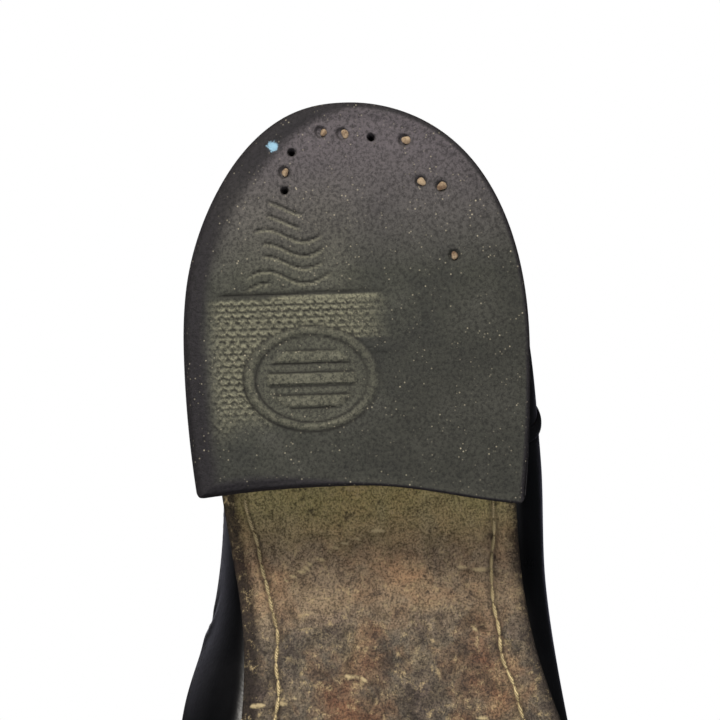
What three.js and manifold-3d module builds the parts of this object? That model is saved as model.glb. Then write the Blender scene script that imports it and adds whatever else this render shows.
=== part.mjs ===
// A right-foot leather shoe on a stacked heel, in the pieces that a shoemaker puts together: a rubber
// heel tread nailed to leather lifts, a leather sole with its welt, shank and cork, and an upper
// lasted in three layers. Lengths are millimetres. It is modelled with X from the back of the heel to
// the toe, Y towards the inner side of the foot and Z up from the ground, and centred at the end.
import * as THREE from "three";
import Module from "manifold-3d";
import { mergeVertices } from "three/addons/utils/BufferGeometryUtils.js";

const manifold = await Module();
manifold.setup();

// ---------- Driving dimensions ----------
const gap = 0.3; // left between pieces that touch
const mouldedTread = 7.7; // rubber heel tread
const leatherLift = 4.7; // each leather lift of the heel
const heelLifts = 3;
const rand = { thickness: 4.4, width: 11 }; // open strip that levels the heel seat
const heel = {
  length: 78,
  width: 68.2,
  roundLength: 49, // from the back to the widest place
  roundness: 2.2, // power of the curve round the back, 2 is an ellipse
  breastWidth: 63,
  breastHollow: 2, // how far the front face curves in
  corner: 3,
  flare: 1.6, // how far the seat stands out past the tread
};
const sole = { length: 296, width: 101.5, ballAt: 190, toeSpring: 6, toeLength: 56 };
const outsole = { thickness: 5 };
const welt = { thickness: 3, width: 11.5 };
const insole = { thickness: 2.8, clearance: 0.6 };
const sock = { thickness: 1.2, clearance: 0.9 };
const shank = { width: 13, thickness: 1.6, from: 40, to: 132 };
const lining = { thickness: 1.2 };
const middle = { thickness: 1.5, skived: 0.6 }; // quarters, gores, tongue; thinner where covered
const outer = { thickness: 1.7, clearance: 0.5 }; // vamp and heel foxing, over the middle layer
const overlap = 0.1; // how far the middle layer runs up under the outer one, as a share of the rise
const collar = { back: 11, front: 128, halfWidth: 26, low: 44, backRise: 17, frontRise: 35, roll: 2.2 };
const piping = { halfWidth: 1.7, stand: 1.3 };
const flex = { x: 206, y: -4, slant: 12, degrees: 25, spare: 1, slit: 0.2 };
const nail = { head: 1.5, headHeight: 1, shaft: 0.8, sunk: 1.2, reach: 17.2, clearance: 0.3 };
const heelScrew = { head: 4.5, headHeight: 1.6, shaft: 2.2, reach: 21, clearance: 0.4 };

// Nail places in the heel tread, and the empty holes that drawn nails have left.
const nailsAt = [
  [5.9, 5.4], [6.3, 1.2], [7.9, -10.9], [13.6, 13.3], [16.2, -13.6], [17.2, -17.6], [31, -19.7],
];
const emptyHolesAt = [[9.7, 11.6], [17.2, 13.4], [7.2, -4.4]];

// Lines of the shoe, from the back of the heel round the outer side to the toe and back along the
// inner side. Each row: sole edge x, y; inset of the foot line; out and up, the way the upper starts;
// then x, y and drop, the way it arrives at the collar; turn round the collar in degrees; and the
// height of the outer layer's top edge, as a share of the rise.
const lines = [
  [0, 0, 6.5, 7, 18, -8, 0, 22, 0, 0.62],
  [12, -23, 6.5, 7, 16, -7, -4, 21, 28, 0.6],
  [42, -35.5, 6.5, 8.5, 14, 0, -11, 20, 56, 0.56],
  [80, -33.5, 6.5, 15.5, 10, 4, -13.5, 20, 84, 0.52],
  [112, -35.8, 6.5, 12.3, 10, 7, -12, 20, 104, 0.47],
  [148, -46.5, 8, 5, 14, 13, -14, 24, 122, 0.48],
  [188, -53.5, 9, 5, 20, 30, -23, 27, 139, 0.56],
  [228, -50.5, 9, 6, 26, 48, -26, 30, 153, 0.66],
  [262, -38, 9, 7, 30, 71, -23, 33, 164, 0.73],
  [286, -17, 9, 8, 32, 86, -13, 36, 173, 0.78],
  [296, 5, 9, 8, 32, 92, 2, 37, 180, 0.8],
  [285, 26, 9, 7, 32, 84, 15, 36, 187, 0.78],
  [258, 41, 9, 6, 28, 68, 21, 33, 196, 0.73],
  [222, 48, 9, 9, 24, 44, 25, 29, 207, 0.66],
  [185, 43, 9, 17, 18, 28, 25, 25, 221, 0.56],
  [150, 31, 8, 23, 12, 14, 17, 22, 238, 0.48],
  [115, 26.2, 6.5, 12, 10, 7, 8, 20, 256, 0.45],
  [80, 30.5, 6.5, 4.5, 10, 4, 4, 20, 276, 0.5],
  [42, 35.5, 6.5, 7, 14, 0, 9, 20, 304, 0.56],
  [12, 23, 6.5, 7, 16, -6, 4, 21, 332, 0.6],
];
const roundShoe = 760; // rough length of the way round, to turn widths in mm into shares of it

// ---------- Heights ----------
const heelHeight = mouldedTread + heelLifts * (gap + leatherLift) + gap + rand.thickness + gap;
const weltBottom = outsole.thickness + gap;
const footLine = weltBottom + welt.thickness + gap; // where the upper stands and the insole lies
const insoleTop = footLine + insole.thickness;
const sockBottom = insoleTop + gap;
const middleFrom = lining.thickness + gap;
const outerFrom = middleFrom + middle.thickness + outer.clearance;
const outerTo = outerFrom + outer.thickness;

const ease = (s) => s * s * (3 - 2 * s);
const clamp01 = (s) => Math.min(1, Math.max(0, s));
const mix = THREE.MathUtils.lerp;

// Lines of the shoe at its own size. Places that line up with them are graded with them.
const reach = (n) => Math.max(...lines.map((row) => row[n])) - Math.min(...lines.map((row) => row[n]));
const grade = { x: sole.length / reach(0), y: sole.width / reach(1) };
const along = (x) => x * grade.x;

// Height of the sole's underside over the ground: heel seat, waist, ball and toe spring.
function pitch(x) {
  const seatEnd = heel.length + heel.flare + 1;
  const fall = 1 - ease(clamp01((x - seatEnd) / (along(sole.ballAt) - seatEnd)));
  const toe = along(sole.toeLength);
  const rise = clamp01((x - sole.length + toe) / toe);
  return heelHeight * fall + sole.toeSpring * rise * rise;
}

// ---------- Lines ----------
const turnAt = 8; // place of the collar's turn in a row

// The way from one angle to the next, in degrees, the short way round.
const turnTo = (from, to) => THREE.MathUtils.euclideanModulo(to - from + 180, 360) - 180;

// One row of the lines at u, which runs once round the shoe from 0 to 1, at the shoe's own size.
function rowAt(u) {
  const count = lines.length;
  const place = THREE.MathUtils.euclideanModulo(u, 1) * count;
  const k = Math.floor(place);
  const s = place - k;
  const [a, b, c, d] = [-1, 0, 1, 2].map((step) => lines[(k + step + count) % count]);
  const row = b.map((q, n) => {
    let [p, r, t] = [a[n], c[n], d[n]];
    if (n === turnAt) [p, r, t] = [q + turnTo(q, p), q + turnTo(q, r), q + turnTo(q, r) + turnTo(r, t)];
    return q + 0.5 * s * (r - p + s * (2 * p - 5 * q + 4 * r - t + s * (3 * (q - r) + t - p)));
  });
  for (const n of [0, 5]) row[n] *= grade.x;
  for (const n of [1, 6]) row[n] *= grade.y;
  return row;
}

// Outward direction of the sole's edge at u.
function outward(u) {
  const [x0, y0] = rowAt(u - 0.002);
  const [x1, y1] = rowAt(u + 0.002);
  return new THREE.Vector2(y1 - y0, x0 - x1).normalize();
}

// The sole's edge at u, moved in by inset.
function edge(u, inset) {
  const [x, y] = rowAt(u);
  const away = outward(u);
  return new THREE.Vector2(x - away.x * inset, y - away.y * inset);
}

// The line round the foot, where the upper stands, moved in by inset.
const footEdge = (u, inset) => edge(u, rowAt(u)[2] + inset);

// A point of the foot's surface before it is pitched: t is 0 at the foot line and 1 at the collar.
function last(u, t) {
  const [, , , out, up, toX, toY, drop, turn] = rowAt(u);
  const foot = footEdge(u, 0);
  const away = outward(u);
  const angle = THREE.MathUtils.degToRad(turn);
  const front = along(collar.front);
  const top = new THREE.Vector3(
    (collar.back + front) / 2 - ((front - collar.back) / 2) * Math.cos(angle),
    -collar.halfWidth * Math.sin(angle),
    collar.low +
      collar.backRise * ((1 + Math.cos(angle)) / 2) ** 3 +
      collar.frontRise * ((1 - Math.cos(angle)) / 2) ** 3,
  );
  return new THREE.CubicBezierCurve3(
    new THREE.Vector3(foot.x, foot.y, 0),
    new THREE.Vector3(foot.x + away.x * out, foot.y + away.y * out, up),
    new THREE.Vector3(top.x + toX, top.y + toY, top.z - drop),
    top,
  ).getPoint(t);
}

// Lifts a point from the flat onto the pitched sole.
const pitched = (p) => new THREE.Vector3(p.x, p.y, p.z + pitch(p.x));

// A point off the foot's surface by distance, on the pitched shoe. Close to the foot line it is set
// off level, so that every layer stands on the welt.
function skin(u, t, distance) {
  const step = 0.004;
  const t0 = Math.max(0, t - step);
  const t1 = Math.min(1, t + step);
  const round = last(u + step, t).sub(last(u - step, t));
  const away = round.cross(last(u, t1).sub(last(u, t0))).normalize();
  if (away.z < 0) away.z *= ease(clamp01(t / 0.2));
  const p = last(u, t).addScaledVector(away.normalize(), distance);
  return pitched(p.add(new THREE.Vector3(0, 0, footLine)));
}

const topEdge = (u) => rowAt(u)[9];
const grid = { round: 52, up: 10, snap: 0.3 }; // lines that the layers share

// ---------- Mesh building ----------
// A closed geometry from points and quads, turned so that its faces point out. Points that coincide
// are made one, and the faces that this leaves without an area are dropped.
function closed(points, quads) {
  const triangles = quads.flatMap(([a, b, c, d]) =>
    d === undefined ? [[a, b, c]] : [[a, b, c], [a, c, d]]);
  const loose = new THREE.BufferGeometry().setFromPoints(triangles.flat().map((k) => points[k]));
  const welded = mergeVertices(loose, 1e-3);
  const at = (k) => new THREE.Vector3().fromBufferAttribute(welded.attributes.position, k);
  const faces = [];
  let volume = 0;
  for (let k = 0; k < welded.index.count; k += 3) {
    const [a, b, c] = welded.index.array.slice(k, k + 3);
    if (a === b || b === c || c === a) continue;
    faces.push([a, b, c]);
    volume += at(a).dot(at(b).cross(at(c)));
  }
  welded.setIndex((volume < 0 ? faces.map(([a, b, c]) => [a, c, b]) : faces).flat());
  return welded.toNonIndexed();
}

// A closed sheet: at(a, b, side) gives its points, with side 0 inside and 1 outside.
function sheet(across, up, at) {
  const points = [];
  const quads = [];
  const index = (side, i, j) => (side * (across + 1) + i) * (up + 1) + j;
  for (const side of [0, 1]) {
    for (let i = 0; i <= across; i++) {
      for (let j = 0; j <= up; j++) points.push(at(i / across, j / up, side));
    }
  }
  const wall = (i0, j0, i1, j1) =>
    quads.push([index(0, i0, j0), index(0, i1, j1), index(1, i1, j1), index(1, i0, j0)]);
  for (let i = 0; i < across; i++) {
    for (let j = 0; j < up; j++) {
      quads.push([index(1, i, j), index(1, i + 1, j), index(1, i + 1, j + 1), index(1, i, j + 1)]);
      quads.push([index(0, i, j), index(0, i, j + 1), index(0, i + 1, j + 1), index(0, i + 1, j)]);
    }
    wall(i, 0, i + 1, 0);
    wall(i + 1, up, i, up);
  }
  for (let j = 0; j < up; j++) {
    wall(0, j + 1, 0, j);
    wall(across, j, across, j + 1);
  }
  return closed(points, quads);
}

// A closed ring: section(u) gives the points of its section, in the same order all the way round.
function hoop(count, section) {
  const rings = Array.from({ length: count }, (_, i) => section(i / count));
  const sides = rings[0].length;
  const quads = [];
  for (let i = 0; i < count; i++) {
    for (let j = 0; j < sides; j++) {
      const next = ((i + 1) % count) * sides;
      const turn = (j + 1) % sides;
      quads.push([i * sides + j, next + j, next + turn, i * sides + turn]);
    }
  }
  return closed(rings.flat(), quads);
}

// A plate that follows the pitch of the sole, from bottom to top over it. rim(u) is its edge.
function plate(rungs, rim, bottom, top) {
  const points = [];
  const quads = [];
  const across = 2;
  for (const height of [bottom, top]) {
    for (let k = 0; k <= rungs; k++) {
      const outerSide = rim(k / (2 * rungs));
      const innerSide = rim(1 - k / (2 * rungs));
      const pole = k === 0 || k === rungs;
      for (let j = 0; j <= (pole ? 0 : across); j++) {
        const at = outerSide.clone().lerp(innerSide, j / across);
        points.push(pitched(new THREE.Vector3(at.x, at.y, height)));
      }
    }
  }
  const layer = points.length / 2;
  const index = (side, k, j) => {
    if (k === 0) return side * layer;
    return side * layer + (k === rungs ? layer - 1 : 1 + (k - 1) * (across + 1) + j);
  };
  for (const side of [0, 1]) {
    const face = (...corners) => quads.push(side ? corners : corners.reverse());
    for (let j = 0; j < across; j++) {
      face(index(side, 0, 0), index(side, 1, j), index(side, 1, j + 1));
      face(index(side, rungs, 0), index(side, rungs - 1, j + 1), index(side, rungs - 1, j));
      for (let k = 1; k < rungs - 1; k++) {
        face(index(side, k, j), index(side, k + 1, j), index(side, k + 1, j + 1), index(side, k, j + 1));
      }
    }
  }
  for (let k = 0; k < rungs; k++) {
    const wall = (from, to, j) =>
      quads.push([index(0, from, j), index(0, to, j), index(1, to, j), index(1, from, j)]);
    wall(k, k + 1, 0);
    wall(k + 1, k, across);
  }
  return closed(points, quads);
}

// A slab between two loops of as many points, flat below and above.
function slab(below, above, bottom, top) {
  const count = below.length;
  const lift = (loop, z) => loop.map((p) => new THREE.Vector3(p.x, p.y, z));
  const points = [...lift(below, bottom), ...lift(above, top)];
  const quads = [];
  for (const [a, b, c] of THREE.ShapeUtils.triangulateShape(below, [])) {
    quads.push([a, c, b], [a + count, b + count, c + count]);
  }
  for (let k = 0; k < count; k++) {
    const next = (k + 1) % count;
    quads.push([k, next, next + count, k + count]);
  }
  return closed(points, quads);
}

// A round post standing on z, slightly tapered if the radii differ.
function post(x, y, bottom, top, radius, sides = 8) {
  const geometry = new THREE.CylinderGeometry(radius, radius, top - bottom, sides);
  return geometry.rotateX(Math.PI / 2).translate(x, y, (bottom + top) / 2);
}

// ---------- Cutting and joining ----------
function solid(geometry) {
  const plain = geometry.clone();
  plain.deleteAttribute("normal");
  plain.deleteAttribute("uv");
  const merged = mergeVertices(plain, 1e-4);
  return new manifold.Manifold(
    new manifold.Mesh({
      numProp: 3,
      vertProperties: merged.attributes.position.array,
      triVerts: new Uint32Array(merged.index.array),
    }),
  );
}

function shape(body) {
  const { numProp, vertProperties, triVerts } = body.getMesh();
  const positions = new Float32Array(triVerts.length * 3);
  triVerts.forEach((v, k) => positions.set(vertProperties.subarray(v * numProp, v * numProp + 3), k * 3));
  return new THREE.BufferGeometry().setAttribute("position", new THREE.BufferAttribute(positions, 3));
}

const cut = (geometry, ...tools) =>
  shape(tools.reduce((body, tool) => body.subtract(solid(tool)), solid(geometry)));
const join = (...pieces) => shape(pieces.map(solid).reduce((a, b) => a.add(b)));

// A prism across the shoe at the flex line, from its outline in (forward, up) off the hinge.
const hinge = new THREE.Vector3(along(flex.x), flex.y, pitch(along(flex.x)) + outsole.thickness);
function acrossFlex(outline) {
  const wide = 150;
  const turned = new THREE.Matrix4()
    .makeRotationZ(THREE.MathUtils.degToRad(-flex.slant))
    .setPosition(hinge);
  const settings = { depth: 2 * wide, bevelEnabled: false };
  const geometry = new THREE.ExtrudeGeometry(new THREE.Shape(outline), settings);
  return geometry.translate(0, 0, -wide).rotateX(Math.PI / 2).applyMatrix4(turned);
}

const far = sole.length + 24;
const tall = 130;
const lean = tall * Math.tan(THREE.MathUtils.degToRad(flex.degrees / 2 + flex.spare));
const at2 = (x, y) => new THREE.Vector2(x, y);
// Everything behind the flex line, everything ahead of it, and the wedge that folds between them.
const behindFlex = acrossFlex([
  at2(-far, -tall), at2(-flex.slit, -tall), at2(-flex.slit, 0), at2(-flex.slit - lean, tall),
  at2(-far, tall),
]);
const aheadOfFlex = acrossFlex([
  at2(far, -tall), at2(far, tall), at2(flex.slit + lean, tall), at2(flex.slit, 0), at2(flex.slit, -tall),
]);
const foldAt = gap / Math.tan(THREE.MathUtils.degToRad(flex.degrees / 2));
const fold = acrossFlex([at2(0, foldAt), at2(lean - gap, tall), at2(gap - lean, tall)]);

const behind = (geometry) => shape(solid(geometry).intersect(solid(behindFlex)));
const ahead = (geometry) => shape(solid(geometry).intersect(solid(aheadOfFlex)));
const folding = (geometry) => shape(solid(geometry).intersect(solid(fold)));

// ---------- Materials ----------
const material = (color, roughness, metalness = 0) =>
  new THREE.MeshStandardMaterial({ color, roughness, metalness });
const finishes = {
  rubber: material(0x46473e, 0.85),
  soleLeather: material(0x7a6650, 0.8),
  edgeLeather: material(0x1c1917, 0.5),
  upperLeather: material(0x131315, 0.35),
  liningLeather: material(0xa5855f, 0.7),
  elastic: material(0x161617, 0.9),
  board: material(0x8b7355, 0.85),
  cork: material(0x9a7145, 0.95),
  steel: material(0x8a8a88, 0.35, 1),
  nailSteel: material(0xa39a86, 0.6, 0.8),
};

const shoe = new THREE.Group();
function add(name, geometry, finish) {
  const mesh = new THREE.Mesh(geometry, finish);
  mesh.name = name;
  shoe.add(mesh);
}

// ---------- Heel ----------
// Outline of the heel, grown by the flare: sides from the inner front corner round the back.
function heelLoop(grow) {
  const round = heel.roundLength;
  const half = heel.width / 2 + grow;
  const halfBreast = heel.breastWidth / 2 + grow;
  const front = heel.length + grow;
  const side = (x, sign) => at2(x, sign * mix(half, halfBreast, ((x - round) / (front - round)) ** 2));
  const breast = (y) => at2(front - heel.breastHollow * (1 - (y / halfBreast) ** 2), y);
  const loop = [];
  for (const x of [front - heel.corner, mix(round, front, 0.5)]) loop.push(side(x, 1));
  const steps = 22;
  for (let k = 0; k <= steps; k++) {
    const turn = (k / steps - 0.5) * Math.PI;
    const power = 2 / heel.roundness;
    const y = -half * Math.sign(Math.sin(turn)) * Math.abs(Math.sin(turn)) ** power;
    loop.push(at2(round - (round + grow) * Math.cos(turn) ** power, y));
  }
  for (const x of [mix(round, front, 0.5), front - heel.corner]) loop.push(side(x, -1));
  for (const share of [-1, -0.5, 0, 0.5, 1]) loop.push(breast(share * (halfBreast - heel.corner)));
  return loop;
}

const flareAt = (z) => (heel.flare * z) / heelHeight;
const heelSlab = (bottom, top) => slab(heelLoop(flareAt(bottom)), heelLoop(flareAt(top)), bottom, top);

function addHeel() {
  const nailTop = nail.sunk + nail.headHeight + nail.reach;
  const wide = nail.clearance;
  const holes = nailsAt.map(([x, y]) => post(x, y, -1, nailTop + wide, nail.shaft + wide));
  const headTop = nail.sunk + nail.headHeight;
  const headHoles = nailsAt.map(([x, y]) => post(x, y, -1, headTop + wide, nail.head + wide));
  const empty = emptyHolesAt.map(([x, y]) => post(x, y, -1, mouldedTread * 0.6, nail.shaft));
  add("heel_tread", cut(heelSlab(0, mouldedTread), ...holes, ...headHoles, ...empty), finishes.rubber);

  const screwX = heel.length * 0.46;
  const screwTop = heelHeight + footLine + insole.thickness;
  const screwTip = screwTop - heelScrew.headHeight - heelScrew.reach;
  const screwHole = post(screwX, 0, screwTip - 1, screwTop + 1, heelScrew.shaft + heelScrew.clearance);
  let bottom = mouldedTread + gap;
  for (let k = 1; k <= heelLifts; k++) {
    const drilled = bottom < nailTop ? holes : [];
    const lift = heelSlab(bottom, bottom + leatherLift);
    add("heel_lift_" + k, cut(lift, ...drilled, screwHole), finishes.edgeLeather);
    bottom += leatherLift + gap;
  }
  const seat = heelSlab(bottom, bottom + rand.thickness);
  const inner = heelLoop(flareAt(bottom) - rand.width).map((p) =>
    at2(p.x > heel.roundLength ? p.x + 2 * rand.width : p.x, p.y));
  const hollow = slab(inner, inner, bottom - 1, bottom + rand.thickness + 1);
  add("heel_rand", cut(seat, hollow), finishes.edgeLeather);

  nailsAt.forEach(([x, y], k) => {
    const head = post(x, y, nail.sunk, headTop, nail.head);
    const shaft = post(x, y, nail.sunk + nail.headHeight / 2, nailTop, nail.shaft);
    add("heel_nail_" + (k + 1), join(head, shaft), finishes.nailSteel);
  });
  const head = post(screwX, 0, screwTop - heelScrew.headHeight, screwTop, heelScrew.head, 12);
  const shaft = post(screwX, 0, screwTip, screwTop - heelScrew.headHeight / 2, heelScrew.shaft, 12);
  add("heel_screw", join(head, shaft), finishes.steel);
  const loose = heelScrew.clearance;
  const seatOfHead = screwTop - heelScrew.headHeight - loose;
  const headHole = post(screwX, 0, seatOfHead, screwTop + 1, heelScrew.head + loose, 12);
  return { screwHole, headHole };
}

// ---------- Sole ----------
function addSole({ screwHole, headHole }) {
  const rungs = 28;
  const leather = cut(plate(rungs, (u) => edge(u, 0), 0, outsole.thickness), screwHole);
  add("outsole_rear", behind(leather), finishes.soleLeather);
  add("outsole_forepart", ahead(leather), finishes.soleLeather);

  const weltTop = weltBottom + welt.thickness;
  const corners = [[gap, weltBottom], [gap, weltTop], [welt.width, weltTop], [welt.width, weltBottom]];
  const strip = hoop(56, (u) => corners.map(([inset, z]) => {
    const p = edge(u, inset);
    return pitched(new THREE.Vector3(p.x, p.y, z));
  }));
  add("welt_rear", behind(strip), finishes.edgeLeather);
  add("welt_forepart", ahead(strip), finishes.edgeLeather);

  const core = plate(rungs, (u) => edge(u, welt.width + gap), weltBottom, weltBottom + welt.thickness);
  const shankSlot = shankBar(gap, welt.thickness);
  add("cork_filler_rear", behind(cut(core, shankSlot, screwHole)), finishes.cork);
  add("cork_filler_forepart", ahead(core), finishes.cork);
  add("shank", shankBar(0), finishes.steel);

  const board = plate(rungs, (u) => footEdge(u, insole.clearance), footLine, insoleTop);
  const bed = cut(board, screwHole, headHole);
  add("insole_rear", behind(bed), finishes.board);
  add("insole_forepart", ahead(bed), finishes.board);
  const cover = plate(rungs, (u) => footEdge(u, sock.clearance), sockBottom, sockBottom + sock.thickness);
  add("sock_lining_rear", behind(cover), finishes.liningLeather);
  add("sock_lining_forepart", ahead(cover), finishes.liningLeather);
}

// The steel shank follows the waist, laid in a groove in the top of the filler. It stops short of the
// heel screw. The groove is the same bar, grown by the gap and raised through the top.
function shankBar(grow, raised = 0) {
  const steps = 12;
  const screwX = heel.length * 0.46;
  const from = Math.max(shank.from, screwX + heelScrew.shaft + 2) - grow;
  const to = along(shank.to) + grow;
  const mid = weltBottom + welt.thickness / 2;
  const halfWidth = shank.width / 2 + grow;
  const halfThick = shank.thickness / 2 + grow;
  const y = -2;
  return sheet(steps, 1, (a, b, side) => {
    const x = mix(from, to, a);
    const z = side ? halfThick + raised : -halfThick;
    return pitched(new THREE.Vector3(x, y + mix(-halfWidth, halfWidth, b), mid + z));
  });
}

// ---------- Upper ----------
// A piece of the upper between from and to round the shoe, each a function of t, and between low and
// high up it, each a function of u. inside and outside are its distances off the foot. Every layer
// keeps to the same lines of the grid, so that the layers stay parallel. A narrow strip may be given
// its own number of lines across.
function panel({ from, to, low, high, inside, outside, across }) {
  const lineAt = (k, count, start, end) => {
    const at = k / count;
    const near = grid.snap / count;
    return at < start + near ? start : at > end - near ? end : at;
  };
  const first = Math.floor(Math.min(from(0), from(0.5), from(1)) * grid.round);
  const past = Math.ceil(Math.max(to(0), to(0.5), to(1)) * grid.round);
  return sheet(across ?? past - first, grid.up, (a, b, side) => {
    const i = Math.round(a * (past - first)) + first;
    const j = Math.round(b * grid.up);
    let t = j / grid.up;
    let u = 0;
    for (let pass = 0; pass < 3; pass++) {
      u = across ? mix(from(t), to(t), a) : lineAt(i, grid.round, from(t), to(t));
      t = lineAt(j, grid.up, low(u), high(u));
    }
    return skin(u, t, side ? outside(u, t) : inside(u, t));
  });
}

const always = (value) => () => value;
const layers = {
  lining: { inside: always(0), outside: always(lining.thickness) },
  middle: { inside: always(middleFrom), outside: always(middleFrom + middle.thickness) },
  skived: {
    inside: always(middleFrom),
    outside: (u, t) => middleFrom + (t < topEdge(u) ? middle.skived : middle.thickness),
  },
  outer: { inside: always(outerFrom), outside: always(outerTo) },
};
const share = (mm) => mm / roundShoe;
const tuck = (u) => topEdge(u) - overlap;
const tGap = 0.008; // about half a millimetre up the side
const seams = { lateral: 0.137, medial: 0.863 }; // side seams, shares of the way round the shoe
const stay = 6; // half width of the back stay

function addUpper() {
  const beside = share(piping.halfWidth + gap);
  const whole = { low: always(0), high: topEdge };
  const vamp = panel({
    from: always(seams.lateral + beside), to: always(seams.medial - beside), ...whole, ...layers.outer,
  });
  const foxing = panel({
    from: always(seams.medial - 1 + beside), to: always(seams.lateral - beside), ...whole, ...layers.outer,
  });
  add("vamp_rear", behind(vamp), finishes.upperLeather);
  add("vamp_toe", ahead(vamp), finishes.upperLeather);
  add("vamp_fold", folding(vamp), finishes.upperLeather);
  add("heel_foxing", foxing, finishes.upperLeather);
  for (const [name, seam] of [["lateral", seams.lateral], ["medial", seams.medial]]) {
    const half = share(piping.halfWidth);
    add("side_piping_" + name, panel({
      across: 4, from: always(seam - half), to: always(seam + half), ...whole,
      inside: layers.outer.inside,
      outside: (u) => outerTo + (Math.abs(u - seam) < half / 2 ? piping.stand : 0),
    }), finishes.upperLeather);
  }
  add("back_stay", panel({
    across: 4, from: always(-share(stay)), to: always(share(stay)),
    low: (u) => topEdge(u) + 2 * tGap, high: always(0.98), ...layers.outer,
  }), finishes.upperLeather);

  const ajar = share(0.6);
  const liningSeam = 0.25;
  const vampLining = panel({
    from: always(liningSeam), to: always(1 - liningSeam), low: always(0), high: always(1), ...layers.lining,
  });
  const quarterLining = panel({
    from: always(ajar - liningSeam), to: always(liningSeam - ajar),
    low: always(0), high: always(1), ...layers.lining,
  });
  add("vamp_lining_rear", behind(vampLining), finishes.liningLeather);
  add("vamp_lining_toe", ahead(vampLining), finishes.liningLeather);
  add("quarter_lining", quarterLining, finishes.liningLeather);

  // The middle layer. Where its lines fall between those of its neighbours, it is trimmed to the linings
  // that it lies on and to the outer leather over it.
  const fitted = (settings) => cut(panel(settings), quarterLining, vampLining, foxing, vamp);
  const goreBack = (t) => mix(0.285, 0.242, clamp01((t - 0.4) / 0.6));
  const goreFront = (t) => mix(0.305, 0.338, clamp01((t - 0.4) / 0.6));
  const upTo = { low: tuck, high: always(1), ...layers.skived };
  const mirrored = (way) => (t) => 1 - way(t);
  add("quarter_lateral", fitted({
    from: always(ajar / 2), to: (t) => goreBack(t) - ajar, ...upTo,
  }), finishes.upperLeather);
  add("quarter_medial", fitted({
    from: mirrored((t) => goreBack(t) - ajar), to: always(1 - ajar / 2), ...upTo,
  }), finishes.upperLeather);
  add("gore_lateral", fitted({ from: goreBack, to: goreFront, ...upTo }), finishes.elastic);
  add("gore_medial", fitted({
    from: mirrored(goreFront), to: mirrored(goreBack), ...upTo,
  }), finishes.elastic);
  add("instep_tongue", behind(fitted({
    from: (t) => goreFront(t) + ajar, to: (t) => 1 - goreFront(t) - ajar, ...upTo,
  })), finishes.upperLeather);

  const puffEnd = 0.35;
  const puffRise = (u) => 0.42 * Math.sin(Math.PI * clamp01((u - puffEnd) / (1 - 2 * puffEnd))) ** 0.8;
  add("toe_puff", fitted({
    from: always(puffEnd), to: always(1 - puffEnd), low: always(0), high: puffRise, ...layers.middle,
  }), finishes.board);
  add("heel_counter", fitted({
    from: always(seams.medial - 1), to: always(seams.lateral),
    low: always(0), high: (u) => tuck(u) - tGap, ...layers.middle,
  }), finishes.board);
  const facing = (from, to) => fitted({
    from: always(from), to: always(to),
    low: (u) => puffRise(u) + tGap, high: (u) => tuck(u) - tGap, ...layers.middle,
  });
  add("vamp_interlining_lateral", behind(facing(seams.lateral + beside, 0.5)), finishes.board);
  add("vamp_interlining_medial", behind(facing(0.5, seams.medial - beside)), finishes.board);
  add("vamp_interlining_toe", ahead(facing(seams.lateral + beside, seams.medial - beside)), finishes.board);

  add("collar_binding", hoop(44, (u) => {
    const mid = (middleFrom + middle.thickness) / 2;
    const centre = skin(u, 1, mid);
    const up = centre.clone().sub(skin(u, 0.97, mid)).normalize();
    const out = skin(u, 1, mid + 1).sub(centre).normalize();
    centre.addScaledVector(up, collar.roll + 2 * gap);
    return Array.from({ length: 8 }, (_, k) => {
      const turn = (k / 8) * 2 * Math.PI;
      return centre.clone()
        .addScaledVector(out, collar.roll * Math.cos(turn))
        .addScaledVector(up, collar.roll * Math.sin(turn));
    });
  }), finishes.upperLeather);
}

addSole(addHeel());
addUpper();

// The origin is on the ground, under the middle of the shoe.
const bounds = new THREE.Box3().setFromObject(shoe);
const centre = bounds.getCenter(new THREE.Vector3());
shoe.position.set(-centre.x, -centre.y, -bounds.min.z);

export default shoe;
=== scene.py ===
import math
from functools import partial
import bpy
import numpy as np
from mathutils import Matrix, Vector


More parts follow.
